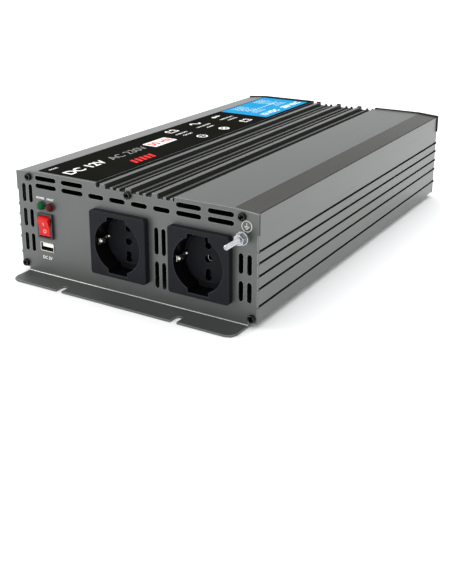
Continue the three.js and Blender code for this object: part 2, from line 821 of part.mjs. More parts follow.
function switchHousing() {
  const rim = roundedRectangle(0, 0, bezelWidth, bezelHeight, bezelCorner, 2);
  const bezel = acrossY(rim, [], bezelFront, bezelProud - slip);
  const bodyStart = bezelBack - slip;
  const body = box(
    0,
    bodyStart + housingDepth / 2,
    0,
    housingWidth,
    housingDepth,
    housingHeight,
  );
  const cavityBack = rockerSwing * Math.sin(rockerTilt) + rockerTail + 2 * rockerClearance;
  const cavity = box(
    0,
    (cavityBack + bezelFront - over) / 2,
    0,
    cavityWidth,
    cavityBack - bezelFront + over,
    cavityHeight,
  );
  const hole = new THREE.CylinderGeometry(
    trunnionRadius + slip,
    trunnionRadius + slip,
    cavityWidth + 2 * trunnionReach,
    12,
  ).rotateZ(Math.PI / 2);
  return cut(join(bezel, body), cavity, hole);
}

// Two flat halves that meet in a shallow valley, with ends curved about the pivot.
function rocker() {
  const tip = rockerMiddle + rockerEnd * Math.tan(rockerTilt);
  const swing = Math.hypot(tip, rockerEnd);
  const tailAngle = Math.asin(rockerTail / swing);
  const tipAngle = Math.atan2(tip, rockerEnd);
  const curved = arc(0, 0, swing, -tailAngle, tipAngle, 6);
  const upper = curved.map((p) => point(-p.y, p.x));
  const lower = curved.map((p) => point(-p.y, -p.x)).reverse();
  const outline = [...upper, point(-rockerMiddle, 0), ...lower];
  const body = acrossX(outline, -rockerWidth / 2, rockerWidth);
  const reach = rockerWidth + 2 * (rockerClearance + trunnionReach - slip);
  const pins = new THREE.CylinderGeometry(trunnionRadius, trunnionRadius, reach, 12);
  return join(body, pins.rotateZ(Math.PI / 2));
}

const powerSwitch = new THREE.Group();
powerSwitch.position.set(controlX, frontFace - bezelProud + pivotDepth, switchRise);
place("switch_housing", switchHousing(), glossBlack, powerSwitch);
place("power_rocker", rocker(), redPlastic, powerSwitch).rotation.x = rockerTilt;
inverter.add(powerSwitch);

// ---- USB outlet ----
function usbShell() {
  const outer = roundedRectangle(0, 0, usbWidth, usbHeight, usbCorner, 2);
  const inner = rectangle(0, 0, usbWidth - 2 * usbWall, usbHeight - 2 * usbWall);
  const tube = acrossY(outer, [inner], -usbProud, usbDepth);
  const back = acrossY(outer, [], usbDepth - usbProud - hairline, usbWall);
  return join(tube, back);
}
const usbOutlet = new THREE.Group();
usbOutlet.position.set(controlX, frontFace, usbRise);
place("usb_shell", usbShell(), springMetal, usbOutlet);
const tongueDepth = usbDepth - usbProud - usbTongueBack - gap;
const tongue = box(0, 0, 0, usbTongueWidth, tongueDepth, usbTongueHeight);
place("usb_tongue", tongue, whitePlastic, usbOutlet).position.set(
  0,
  usbTongueBack + tongueDepth / 2,
  usbTongueLift,
);
inverter.add(usbOutlet);

// ---- lamps ----
// A domed lamp along -Y, with its flange behind the plate.
function lamp() {
  const back = -plateThickness - slip - lampFlangeHeight;
  const dome = arc(0, lampProud - lampRadius, lampRadius, 0, Math.PI / 2, 4);
  const profile = [
    point(0, back - lampBody),
    point(lampNeck, back - lampBody),
    point(lampNeck, back),
    point(lampFlange, back),
    point(lampFlange, back + lampFlangeHeight),
    point(lampRadius, back + lampFlangeHeight),
    ...dome.slice(0, -1),
    point(0, lampProud),
  ];
  return new THREE.LatheGeometry(profile, 12).rotateX(Math.PI);
}
for (const [name, side, lens] of [["lamp_power", -1, greenLens], ["lamp_fault", 1, redLens]]) {
  const x = controlX + lampShift + (side * lampSpacing) / 2;
  place(name, lamp(), lens).position.set(x, frontFace, lampRise);
}

// ---- earth stud ----
const earthStud = new THREE.Group();
earthStud.position.set(halfWidth - earthInset, frontFace, earthRise);
const studProfile = [
  point(0, -earthTail),
  point(earthRadius, -earthTail),
  point(earthRadius, earthReach - studChamfer),
  point(earthRadius - studChamfer, earthReach),
  point(0, earthReach),
];
const studRod = new THREE.LatheGeometry(studProfile, 12).rotateX(Math.PI);
place("earth_stud", studRod, springMetal, earthStud);
const ringAt = (outer, start, thickness) =>
  acrossY(outer, [circle(0, 0, earthRadius + slip, 12)], -start - thickness, thickness);
const nutOutline = circle(0, 0, earthNutFlat / Math.cos(Math.PI / 6), 6);
place("earth_nut_inner", ringAt(nutOutline, slip, earthNutHeight), springMetal, earthStud);
const washerStart = 2 * slip + earthNutHeight;
const washer = ringAt(circle(0, 0, earthWasher, 18), washerStart, earthWasherThickness);
place("earth_washer", washer, springMetal, earthStud);
const outerStart = washerStart + earthWasherThickness + slip;
const nutOuter = ringAt(nutOutline, outerStart, earthNutHeight);
place("earth_nut_outer", nutOuter, springMetal, earthStud);
inverter.add(earthStud);

// ---- cable clamps ----
// Built like the front's pieces, facing -Y, and turned to face the rear.
const rear = new THREE.Group();
rear.position.y = rearFace;
rear.rotation.z = Math.PI;
inverter.add(rear);

function insulator() {
  const middle = (clampRises[0] + clampRises[1]) / 2;
  const outline = roundedRectangle(0, middle, insulatorWidth, insulatorHeight, insulatorCorner);
  const holes = clampRises.map((z) => circle(0, z, clampNeck + gap, 16));
  return acrossY(outline, holes, -slip - insulatorThickness, insulatorThickness);
}

// A post with a neck through the plate, a blind bore for the cable and a threaded cross hole.
function clampPost(side) {
  const base = -insulatorThickness - 2 * slip;
  const end = base - clampReach;
  const post = rod(0, 0, clampRadius, end, base, 16);
  const neck = rod(0, 0, clampNeck, base - over, clampTail, 12);
  const bore = rod(0, 0, clampBore, end - over, end + clampBoreDepth, 12);
  const cross = new THREE.CylinderGeometry(
    clampScrewRadius + slip,
    clampScrewRadius + slip,
    clampRadius + over,
    12,
  )
    .rotateZ(Math.PI / 2)
    .translate(((clampRadius + over) / 2) * side, end + clampScrewBack, 0);
  return cut(join(post, neck), bore, cross);
}

function clampScrew(side) {
  const reach = clampRadius + clampScrewProud;
  const start = clampBore + gap;
  const body = new THREE.CylinderGeometry(
    clampScrewRadius,
    clampScrewRadius,
    reach - start,
    12,
  ).rotateZ(Math.PI / 2).translate(((reach + start) / 2) * side, 0, 0);
  const key = new THREE.CylinderGeometry(clampKey, clampKey, 2 * clampKeyDepth, 6)
    .rotateZ(Math.PI / 2)
    .translate(reach * side, 0, 0);
  return cut(body, key);
}

for (const [sign, side, look] of [["positive", 1, redPlastic], ["negative", -1, blackPlastic]]) {
  const column = new THREE.Group();
  column.position.x = side * clampSpread;
  rear.add(column);
  place(`clamp_insulator_${sign}`, insulator(), look, column);
  clampRises.forEach((z, i) => {
    const height = ["lower", "upper"][i];
    place(`clamp_${sign}_${height}`, clampPost(side), brass, column).position.z = z;
    const end = -insulatorThickness - 2 * slip - clampReach;
    const screw = place(`clamp_screw_${sign}_${height}`, clampScrew(side), blackSteel, column);
    screw.position.set(0, end + clampScrewBack, z);
  });
}

// ---- fans ----
// Built with the fan's middle at X 0, Z 0 and the face against the plate at Y 0.
function fanFrame() {
  const outline = roundedRectangle(0, 0, fanSize, fanSize, fanCorner, 2);
  const s = fanScrewSpacing / 2;
  const corners = [[-s, -s], [s, -s], [s, s], [-s, s]];
  const screws = corners.map(([x, z]) => circle(x, z, fanScrewHole, 8));
  const holes = [circle(0, 0, fanBore, 24), ...screws];
  const tube = acrossY(outline, holes, 0, fanDepth);
  const motor = rod(0, 0, motorRadius, fanDepth - strutDepth, fanDepth, 12);
  const reach = fanBore + over;
  const struts = Array.from({ length: fanStruts }, (_, i) =>
    box(0, fanDepth - strutDepth / 2, reach / 2, strutWidth, strutDepth, reach).rotateY(
      (i * 2 * Math.PI) / fanStruts,
    ),
  );
  return join(tube, motor, ...struts);
}

// Twisted blades round a closed hub.
function fanRotor() {
  const depth = fanDepth - strutDepth - rotorSetback - rotorGap;
  const hub = rod(0, 0, fanHub, rotorSetback, rotorSetback + depth, 16);
  const chord = depth - 2 * bladeInset;
  const blade = new THREE.BoxGeometry(bladeThickness, chord, fanTip - fanHub + over, 1, 1, 2);
  const places = blade.attributes.position;
  for (let i = 0; i < places.count; i += 1) {
    const along = places.getZ(i) / (fanTip - fanHub) + 0.5;
    const turn = bladeTurn + bladeTwist * along;
    const x = places.getX(i);
    const y = places.getY(i);
    places.setX(i, x * Math.cos(turn) - y * Math.sin(turn));
    places.setY(i, x * Math.sin(turn) + y * Math.cos(turn));
  }
  blade.translate(0, rotorSetback + depth / 2, (fanTip + fanHub - over) / 2);
  const blades = Array.from({ length: fanBlades }, (_, i) =>
    blade.clone().rotateY((i * 2 * Math.PI) / fanBlades),
  );
  return join(hub, ...blades);
}

for (const [side, x] of [["left", -fanX], ["right", fanX]]) {
  const fan = new THREE.Group();
  fan.position.set(-x, fanBack, fanRise);
  place(`fan_${side}_frame`, fanFrame(), glossBlack, fan);
  place(`fan_${side}_rotor`, fanRotor(), glossBlack, fan);
  rear.add(fan);
}

// ---- circuit board and what stands on it ----
const boardWidth = bodyWidth - 2 * boardSide;
const boardLength = bodyLength - boardFront - boardBack;
const boardY = (boardFront - boardBack) / 2;
const board = place(
  "main_board",
  new THREE.BoxGeometry(boardWidth, boardLength, boardThickness),
  boardGreen,
);
board.position.set(0, boardY, boardLow + boardThickness / 2);
for (const [side, way] of [["left", -1], ["right", 1]]) {
  const height = boardRise - 2 * slip;
  const spacer = new THREE.BoxGeometry(spacerWidth, boardLength - 2 * spacerInset, height);
  const x = way * (boardWidth / 2 - spacerInset - spacerWidth / 2);
  const spacerZ = floorTop + slip + height / 2;
  place(`board_spacer_${side}`, spacer, blackPlastic).position.set(x, boardY, spacerZ);
  const spreader = new THREE.BoxGeometry(spreaderThickness, spreaderLength, spreaderHeight);
  const spreaderX = way * (caseInner - gap - spreaderThickness / 2);
  place(`heat_spreader_${side}`, spreader, rawAluminium).position.set(
    spreaderX,
    boardY,
    boardTop + slip + spreaderHeight / 2,
  );
}

function transformer() {
  const [coreWidth, coreLength, coreHeight] = transformerSize;
  const [windingWidth, windingLength, windingHeight] = windingSize;
  const core = box(0, 0, coreHeight / 2, coreWidth, coreLength, coreHeight);
  const winding = box(0, 0, coreHeight / 2, windingWidth, windingLength, windingHeight);
  return join(core, winding);
}
[-1, 1].forEach((way, i) => {
  const x = (way * boardWidth) / 4;
  place(`transformer_${i + 1}`, transformer(), ferrite).position.set(x, 0, boardTop + slip);
  const can = new THREE.CylinderGeometry(capacitorRadius, capacitorRadius, capacitorHeight, 20);
  const capacitor = place(`capacitor_${i + 1}`, can.rotateX(Math.PI / 2), sleeveBlue);
  const y = boardY + boardLength / 2 - capacitorInset;
  capacitor.position.set(x, y, boardTop + slip + capacitorHeight / 2);
});
const toroid = new THREE.TorusGeometry(chokeRadius, chokeTube, 6, 16);
const choke = place("output_choke", toroid, copper);
choke.position.set(0, boardY - boardLength / 2 + chokeInset, boardTop + slip + chokeTube);

export default inverter;
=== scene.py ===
import math
import bmesh
import bpy
from mathutils import Matrix, Vector


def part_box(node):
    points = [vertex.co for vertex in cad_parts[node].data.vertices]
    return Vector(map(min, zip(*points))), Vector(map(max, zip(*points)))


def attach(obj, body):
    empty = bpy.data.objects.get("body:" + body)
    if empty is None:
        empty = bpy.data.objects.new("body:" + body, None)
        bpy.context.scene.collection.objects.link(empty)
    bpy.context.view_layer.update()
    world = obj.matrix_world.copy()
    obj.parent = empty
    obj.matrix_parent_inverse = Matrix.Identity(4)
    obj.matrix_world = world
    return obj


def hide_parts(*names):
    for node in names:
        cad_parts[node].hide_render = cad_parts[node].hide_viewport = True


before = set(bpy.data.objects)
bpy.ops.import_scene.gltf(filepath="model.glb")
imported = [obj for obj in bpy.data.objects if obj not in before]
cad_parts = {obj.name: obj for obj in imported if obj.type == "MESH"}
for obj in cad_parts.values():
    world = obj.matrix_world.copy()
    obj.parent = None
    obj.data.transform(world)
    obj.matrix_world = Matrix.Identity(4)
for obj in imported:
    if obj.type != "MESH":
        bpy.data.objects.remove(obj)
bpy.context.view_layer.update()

mm = 0.001
print("frame loaded with", len(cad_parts), "nodes")

# camera, floor and light

viewpoint = {
    "place": (0.3548, -0.6317, 0.2499),  # metres, off the right-hand front corner
    "turn": (73.01, 0, 31.18),  # degrees: looking a little down and to the left
    "lens": 53.85,
    "rise": -0.1627,
}
studio = {
    "floorColour": "#f7f7f7",
    "floorSize": 60,
    "skyColour": "#66696c",
    "horizonColour": "#ffffff",
    "skyStrength": 1.3,
    # a wide soft sun keeps the paper white out to the horizon
    "sun": {"strength": 3.2, "spread": 130, "turn": (8, 6, 0)},
    # place, size, power and colour of each softbox; all of them look at the middle of the case
    "softboxes": {
        "overheadLight": ((-0.5, 0.9, 1.5), (1.8, 1.4), 14, "#ffffff"),
        "frontLight": ((-1.3, -1.0, 0.5), (0.6, 0.6), 9, "#fffdf8"),
        "rightLight": ((1.6, -0.2, 0.8), (0.8, 1.2), 1.5, "#f6faff"),
    },
}


def linear(colour):
    channels = [int(colour[i : i + 2], 16) / 255 for i in (1, 3, 5)]
    return (*[c / 12.92 if c < 0.04045 else ((c + 0.055) / 1.055) ** 2.4 for c in channels], 1)


def addCamera():
    lens = bpy.data.cameras.new("camera")
    lens.lens = viewpoint["lens"]
    lens.sensor_width = 36
    lens.shift_y = viewpoint["rise"]
    lens.clip_start = 0.01
    camera = bpy.data.objects.new("camera", lens)
    camera.location = viewpoint["place"]
    camera.rotation_euler = [math.radians(angle) for angle in viewpoint["turn"]]
    bpy.context.scene.collection.objects.link(camera)
    bpy.context.scene.camera = camera


def addNode(tree, kind, links=None, **settings):
    made = tree.nodes.new(kind)
    for setting, value in settings.items():
        setattr(made, setting, value)
    for socket, value in (links or {}).items():
        if isinstance(value, bpy.types.NodeSocket):
            tree.links.new(value, made.inputs[socket])
        else:
            made.inputs[socket].default_value = value
    return made


def addSky():
    sky = bpy.data.worlds.new("studioSky")
    sky.use_nodes = True
    tree = sky.node_tree
    tree.nodes.clear()
    spot = addNode(tree, "ShaderNodeTexCoord")
    height = addNode(tree, "ShaderNodeSeparateXYZ", {0: spot.outputs["Generated"]})
    ramp = addNode(tree, "ShaderNodeValToRGB", {0: height.outputs["Z"]})
    ramp.color_ramp.elements[0].color = linear(studio["horizonColour"])
    ramp.color_ramp.elements[1].color = linear(studio["skyColour"])
    ramp.color_ramp.elements[0].position = 0.08
    ramp.color_ramp.elements[1].position = 0.34
    light = addNode(tree, "ShaderNodeBackground", {0: ramp.outputs[0], 1: studio["skyStrength"]})
    addNode(tree, "ShaderNodeOutputWorld", {0: light.outputs[0]})
    bpy.context.scene.world = sky


def addSoftboxes():
    aim = Vector((0, 0, 0.04))
    for name, (place, size, power, colour) in studio["softboxes"].items():
        lamp = bpy.data.lights.new(name, "AREA")
        lamp.shape = "RECTANGLE"
        lamp.size, lamp.size_y = size
        lamp.energy = power
        lamp.color = linear(colour)[:3]
        box = bpy.data.objects.new(name, lamp)
        box.location = place
        box.rotation_euler = (aim - box.location).to_track_quat("-Z", "Y").to_euler()
        bpy.context.scene.collection.objects.link(box)


def addSun():
    lamp = bpy.data.lights.new("sun", "SUN")
    lamp.energy = studio["sun"]["strength"]
    lamp.angle = math.radians(studio["sun"]["spread"])
    sun = bpy.data.objects.new("sun", lamp)
    sun.rotation_euler = [math.radians(angle) for angle in studio["sun"]["turn"]]
    bpy.context.scene.collection.objects.link(sun)


def addFloor():
    shape = bmesh.new()
    bmesh.ops.create_grid(shape, x_segments=1, y_segments=1, size=studio["floorSize"] / 2)
    bmesh.ops.translate(shape, verts=shape.verts, vec=(0, 0, -0.0002))
    sheet = bpy.data.meshes.new("floor")
    shape.to_mesh(sheet)
    shape.free()
    paper = bpy.data.materials.new("whiteBackdropPaper")
    paper.use_nodes = True
    shader = paper.node_tree.nodes["Principled BSDF"]
    shader.inputs["Base Color"].default_value = linear(studio["floorColour"])
    shader.inputs["Roughness"].default_value = 0.9
    shader.inputs["Specular IOR Level"].default_value = 0.1
    sheet.materials.append(paper)
    floor = bpy.data.objects.new("floor", sheet)
    bpy.context.scene.collection.objects.link(floor)


addCamera()
addSky()
addSoftboxes()
addSun()
addFloor()
bpy.context.scene.view_settings.view_transform = "Standard"
print("studio set")

# materials

# Every finish: two colours that drift into each other over a patch, a grain that moves the
# roughness and the bump, and a paler or shinier edge, partly wear and partly painted highlight. Lengths
# are millimetres.
finishes = {
    # satin anodised extrusion: grey metal with faint lines along its length
    "anodisedExtrusion": {
        "colours": ("#6a6d6b", "#717471"), "patch": 70, "grain": 1.2, "stretch": (1, 0.02, 1),
        "roughness": (0.28, 0.32), "bump": 0.002, "metallic": 0.8, "edge": ("#aeb0aa", 0.35),
    },
    # painted shade: the outer facet of the same extrusion, browner and darker than the rest, standing in
    # for the darker surroundings it reflects; also the tops of the small fins
    "facetPaintedShade": {
        "colours": ("#45433f", "#504e4a"), "patch": 110, "grain": 1.2, "stretch": (1, 0.02, 1),
        "roughness": (0.25, 0.27), "bump": 0.0004, "metallic": 0.8,
    },
    # the same dye on rolled sheet: finer and without lines
    "anodisedSheet": {
        "colours": ("#606261", "#686a69"), "patch": 55, "grain": 0.9, "stretch": (1, 1, 1),
        "roughness": (0.4, 0.5), "bump": 0.008, "metallic": 0.8, "edge": ("#c4c6c2", 0.35),
    },
    # painted highlight: the foot's bend, pale and glossy, standing in for the light caught along the
    # inside of the fold
    "bendPaintedHighlight": {
        "colours": ("#c9cbc8", "#dfe0dd"), "patch": 25, "grain": 0.9, "stretch": (0.05, 1, 1),
        "roughness": (0.2, 0.32), "bump": 0.006, "metallic": 0.8,
    },
    # painted shade: dark anodising deep between the ribs, in the side grooves, on the long top corners
    # and inside the case, and on the end plates' inner faces, hole walls and shoulder edges and in the
    # USB throat
    "anodisedPaintedShade": {
        "colours": ("#20221f", "#2b2d29"), "patch": 40, "grain": 1.2, "stretch": (1, 0.02, 1),
        "roughness": (0.5, 0.65), "bump": 0.01, "metallic": 0.4, "shine": 0.25,
    },
    # black oxide on screws: dark, with paler corners that are partly polish and partly painted highlight
    "blackOxideSteel": {
        "colours": ("#141413", "#1f1e1c"), "patch": 4, "grain": 0.5, "stretch": (1, 1, 1),
        "roughness": (0.28, 0.42), "bump": 0.01, "metallic": 0.9, "edge": ("#8a8880", 0.25),
    },
    # painted glint: the cross recess of the same screws in a pale colour, standing in for the light it
    # catches
    "crossPaintedGlint": {
        "colours": ("#cfcdc6", "#eceae3"), "patch": 1.5, "grain": 0.5, "stretch": (1, 1, 1),
        "roughness": (0.2, 0.34), "bump": 0.01, "metallic": 0.2,
    },
    # printed polyester film: near-black under a dead-matte laminate that throws no gloss
    "labelFilm": {
        "colours": ("#151512", "#1b1b18"), "patch": 30, "grain": 0.7, "stretch": (1, 1, 1),
        "roughness": (0.55, 0.65), "bump": 0.004, "ior": 1.5, "shine": 0,
    },
    # screen inks on the label and plates
    "whiteInk": {
        "colours": ("#ecebe6", "#f6f5f1"), "patch": 8, "grain": 0.8, "stretch": (1, 1, 1),
        "roughness": (0.45, 0.55), "bump": 0.004, "ior": 1.5, "shine": 0.03,
    },
    "greyInk": {
        "colours": ("#8d8d88", "#9a9a95"), "patch": 8, "grain": 0.8, "stretch": (1, 1, 1),
        "roughness": (0.45, 0.55), "bump": 0.004, "ior": 1.5, "shine": 0.03,
    },
    "redInk": {
        "colours": ("#cf1f22", "#dd2c2b"), "patch": 8, "grain": 0.8, "stretch": (1, 1, 1),
        "roughness": (0.45, 0.55), "bump": 0.004, "ior": 1.5, "shine": 0.03,
    },
    "blueInk": {
        "colours": ("#0786ba", "#0d90c4"), "patch": 20, "grain": 0.8, "stretch": (1, 1, 1),
        "roughness": (0.45, 0.55), "bump": 0.004, "ior": 1.5, "shine": 0.02,
    },
    # spark-eroded thermoset of the outlets: matte and grainy
    "sparkedPlastic": {
        "colours": ("#0f1014", "#18191e"), "patch": 12, "grain": 0.8, "stretch": (1, 1, 1),
        "roughness": (0.5, 0.68), "bump": 0.07, "ior": 1.5, "shine": 0.14, "edge": ("#5c5c64", 0.5),
    },
    # the same plastic straight off a polished core, inside the recess, with a darker colour that is
    # painted shade; also the shutters behind the pin holes
    "polishedPlasticPaintedShade": {
        "colours": ("#050506", "#09090b"), "patch": 9, "grain": 1.5, "stretch": (1, 1, 1),
        "roughness": (0.28, 0.36), "bump": 0.002, "ior": 1.5, "shine": 0.08,
    },
    # glossy black switch bezel
    "glossBlackPlastic": {
        "colours": ("#131316", "#1a1a1e"), "patch": 8, "grain": 0.9, "stretch": (1, 1, 1),
        "roughness": (0.14, 0.24), "bump": 0.006, "ior": 1.5, "edge": ("#4a4a52", 0.3),
    },
    # fan frames and small inner mouldings: plain black nylon
    "blackNylon": {
        "colours": ("#0e0e10", "#161619"), "patch": 15, "grain": 0.9, "stretch": (1, 1, 1),
        "roughness": (0.42, 0.56), "bump": 0.02, "ior": 1.53, "shine": 0.25, "edge": ("#3c3c41", 0.4),
    },
    # translucent red polycarbonate rocker, polished
    "redPolycarbonate": {
        "colours": ("#bf0d08", "#cc140d"), "patch": 7, "grain": 1.5, "stretch": (1, 1, 1),
        "roughness": (0.16, 0.24), "bump": 0.006, "ior": 1.58, "shine": 0.15, "depth": 0.1,
    },
    # red insulating plate, moulded nylon
    "redNylon": {
        "colours": ("#a3120e", "#b31a15"), "patch": 12, "grain": 0.9, "stretch": (1, 1, 1),
        "roughness": (0.4, 0.52), "bump": 0.02, "ior": 1.53, "edge": ("#e06a60", 0.4),
    },
    # white nylon contact carrier
    "whiteNylon": {
        "colours": ("#e9e6dd", "#f1eee6"), "patch": 6, "grain": 0.8, "stretch": (1, 1, 1),
        "roughness": (0.42, 0.55), "bump": 0.01, "ior": 1.53,
    },
    # nickel-plated spring steel: bright, rolled
    "nickelPlate": {
        "colours": ("#c6c3bb", "#d5d2ca"), "patch": 6, "grain": 0.8, "stretch": (1, 0.15, 1),
        "roughness": (0.16, 0.28), "bump": 0.006, "metallic": 1, "edge": ("#f4f2ec", 0.15),
    },
    # bright zinc on the earth stud: bluish white
    "brightZinc": {
        "colours": ("#8e9397", "#b2b6b8"), "patch": 3, "grain": 0.7, "stretch": (1, 1, 1),
        "roughness": (0.18, 0.34), "bump": 0.015, "metallic": 1, "edge": ("#ffffff", 0.15),
    },
    # turned brass cable posts
    "turnedBrass": {
        "colours": ("#b98f3e", "#cba456"), "patch": 6, "grain": 0.8, "stretch": (1, 0.1, 1),
        "roughness": (0.2, 0.34), "bump": 0.01, "metallic": 1, "edge": ("#ecd292", 0.2),
    },
    # tinted epoxy lenses: deep colour under a clear skin
    "greenEpoxy": {
        "colours": ("#03431e", "#055628"), "patch": 3, "grain": 1.2, "stretch": (1, 1, 1),
        "roughness": (0.05, 0.1), "bump": 0.002, "ior": 1.52, "shine": 0.14,
    },
    "redEpoxy": {
        "colours": ("#3c0509", "#520a0f"), "patch": 3, "grain": 1.2, "stretch": (1, 1, 1),
        "roughness": (0.05, 0.1), "bump": 0.002, "ior": 1.52, "shine": 0.14,
    },
    # painted floor sheet
    "greyPaintedSteel": {
        "colours": ("#6a6c68", "#737571"), "patch": 40, "grain": 1.1, "stretch": (1, 1, 1),
        "roughness": (0.45, 0.6), "bump": 0.02, "ior": 1.5, "edge": ("#9a9b97", 0.4),
    },
    # glass-epoxy board under green solder mask
    "solderMask": {
        "colours": ("#134a2c", "#1f6a41"), "patch": 9, "grain": 1, "stretch": (1, 1, 1),
        "roughness": (0.3, 0.5), "bump": 0.03, "ior": 1.5,
    },
    # milled aluminium heat spreaders
    "milledAluminium": {
        "colours": ("#8f9192", "#a6a8a9"), "patch": 14, "grain": 1, "stretch": (1, 0.05, 1),
        "roughness": (0.28, 0.42), "bump": 0.012, "metallic": 1, "edge": ("#dcdddd", 0.25),
    },
    # sintered ferrite cores
    "sinteredFerrite": {
        "colours": ("#333335", "#424245"), "patch": 8, "grain": 0.8, "stretch": (1, 1, 1),
        "roughness": (0.6, 0.8), "bump": 0.04, "ior": 1.6, "edge": ("#6a6a6e", 0.6),
    },
    # shrunk polymer sleeve
    "shrinkSleeve": {
        "colours": ("#1b2a4a", "#223358"), "patch": 8, "grain": 1.2, "stretch": (1, 1, 1),
        "roughness": (0.22, 0.34), "bump": 0.012, "ior": 1.52,
    },
    # enamelled copper winding wire
    "enamelledCopper": {
        "colours": ("#8f4a24", "#b26436"), "patch": 5, "grain": 1, "stretch": (1, 1, 1),
        "roughness": (0.2, 0.36), "bump": 0.05, "metallic": 0.9, "edge": ("#d98f5c", 0.3),
    },
}
edgeRadius = 0.35  # width of the paler edges, partly wear and partly painted highlight


def makeMaterial(name, finish):
    material = bpy.data.materials.new(name)
    material.use_nodes = True
    tree = material.node_tree
    shader = tree.nodes["Principled BSDF"]
    spot = addNode(tree, "ShaderNodeTexCoord")
    patch = addNode(
        tree,
        "ShaderNodeTexNoise",
        {"Vector": spot.outputs["Object"], "Scale": 1 / (finish["patch"] * mm), "Detail": 3},
    )
    stretched = addNode(
        tree,
        "ShaderNodeMapping",
        {"Vector": spot.outputs["Object"], "Scale": finish["stretch"]},
    )
    grain = addNode(
        tree,
        "ShaderNodeTexNoise",
        {"Vector": stretched.outputs[0], "Scale": 1 / (finish["grain"] * mm), "Detail": 4},
    )
    low, high = [linear(colour) for colour in finish["colours"]]
    colour = addNode(
        tree,
        "ShaderNodeMix",
        {0: patch.outputs[0], 6: low, 7: high},
        data_type="RGBA",
    ).outputs[2]
    smooth, rough = finish["roughness"]
    gloss = addNode(
        tree,
        "ShaderNodeMapRange",
        {0: grain.outputs[0], 1: 0.3, 2: 0.7, 3: smooth, 4: rough},
    ).outputs[0]
    # paler edges: partly wear, partly a painted highlight where an edge catches the light
    if "edge" in finish:
        edgeColour, edgeGloss = finish["edge"]
        rounded = addNode(tree, "ShaderNodeBevel", {0: edgeRadius * mm}, samples=4)
        true = addNode(tree, "ShaderNodeNewGeometry")
        facing = addNode(
            tree,
            "ShaderNodeVectorMath",
            {0: rounded.outputs[0], 1: true.outputs["Normal"]},
            operation="DOT_PRODUCT",
        )
        edgeWearAndHighlight = addNode(
            tree,
            "ShaderNodeMapRange",
            {0: facing.outputs["Value"], 1: 0.995, 2: 0.9, 3: 0.0, 4: 0.8},
        ).outputs[0]
        colour = addNode(
            tree,
            "ShaderNodeMix",
            {0: edgeWearAndHighlight, 6: colour, 7: linear(edgeColour)},
            data_type="RGBA",
        ).outputs[2]
        gloss = addNode(tree, "ShaderNodeMix", {0: edgeWearAndHighlight, 2: gloss, 3: edgeGloss}).outputs[0]
    bump = addNode(
        tree,
        "ShaderNodeBump",
        {"Height": grain.outputs[0], "Distance": finish["bump"] * mm, "Strength": 1},
    )
    tree.links.new(colour, shader.inputs["Base Color"])
    tree.links.new(gloss, shader.inputs["Roughness"])
    tree.links.new(bump.outputs[0], shader.inputs["Normal"])
    shader.inputs["Metallic"].default_value = finish.get("metallic", 0)
    if "ior" in finish:
        shader.inputs["IOR"].default_value = finish["ior"]
    if "shine" in finish:
        shader.inputs["Specular IOR Level"].default_value = finish["shine"]
    if "coat" in finish:
        shader.inputs["Coat Weight"].default_value = finish["coat"]
        shader.inputs["Coat Roughness"].default_value = 0.08
    if "depth" in finish:
        shader.inputs["Subsurface Weight"].default_value = finish["depth"]
        shader.inputs["Subsurface Radius"].default_value = (0.0015, 0.0008, 0.0006)
    return material


materials = {name: makeMaterial(name, finish) for name, finish in finishes.items()}
print("materials made:", len(materials))

# shared making steps

case = "case"
widestCurve = 100  # square millimetres: larger faces than this are the flat ones
sliver = 0.0008  # millimetres: edges shorter than this are dissolved


def finishPiece(shape, name, finishNames, body=case, stands=(), sharp=30):
    bmesh.ops.dissolve_degenerate(shape, dist=sliver, edges=shape.edges)
    bmesh.ops.transform(shape, matrix=Matrix.Scale(mm, 4), verts=shape.verts)
    for face in shape.faces:
        face.smooth = face.calc_area() < widestCurve * mm * mm
    for edge in shape.edges:
        edge.smooth = edge.is_manifold and edge.calc_face_angle(0) < math.radians(sharp)
    mesh = bpy.data.meshes.new(name)
    shape.to_mesh(mesh)
    shape.free()
    for finishName in finishNames:
        mesh.materials.append(materials[finishName])
    piece = bpy.data.objects.new(name, mesh)
    bpy.context.scene.collection.objects.link(piece)
    level = piece.modifiers.new("evenShading", "WEIGHTED_NORMAL")
    level.keep_sharp = True
    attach(piece, body)
    if stands:
        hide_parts(*stands)
    return piece


def bevelEdges(shape, edges, width, segments):
    bmesh.ops.bevel(
        shape,
        geom=edges,
        offset=width,
        offset_type="OFFSET",
        segments=segments,
        profile=0.5,
        affect="EDGES",
        material=-1,
        clamp_overlap=True,
    )


def sharpEdges(shape, angle=40):
    limit = math.radians(angle)
    return [edge for edge in shape.edges if edge.is_manifold and edge.calc_face_angle(0) > limit]


# a copy of a frame node in millimetres, merged and with its flat faces made whole
def nodeShape(node):
    shape = bmesh.new()
    shape.from_mesh(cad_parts[node].data)
    bmesh.ops.transform(shape, matrix=Matrix.Scale(1 / mm, 4), verts=shape.verts)
    bmesh.ops.remove_doubles(shape, verts=shape.verts, dist=0.002)
    bmesh.ops.dissolve_limit(
        shape, angle_limit=math.radians(0.6), verts=shape.verts, edges=shape.edges
    )
    return shape


# frame node: edge width, its steps, finish, slot and body
softEdges = {
    "switch_housing": (0.3, 2, "glossBlackPlastic", "switch_plastic", case),
    "usb_tongue": (0.2, 2, "whiteNylon", "white_plastic", case),
    "clamp_insulator_positive": (0.5, 3, "redNylon", "red_plastic", case),
    "clamp_insulator_negative": (0.5, 3, "blackNylon", "black_plastic", case),
    "fan_left_frame": (0.35, 2, "blackNylon", "black_plastic", case),
    "fan_right_frame": (0.35, 2, "blackNylon", "black_plastic", case),
    "fan_left_rotor": (0.3, 2, "blackNylon", "black_plastic", "fan_left"),
    "fan_right_rotor": (0.3, 2, "blackNylon", "black_plastic", "fan_right"),
}


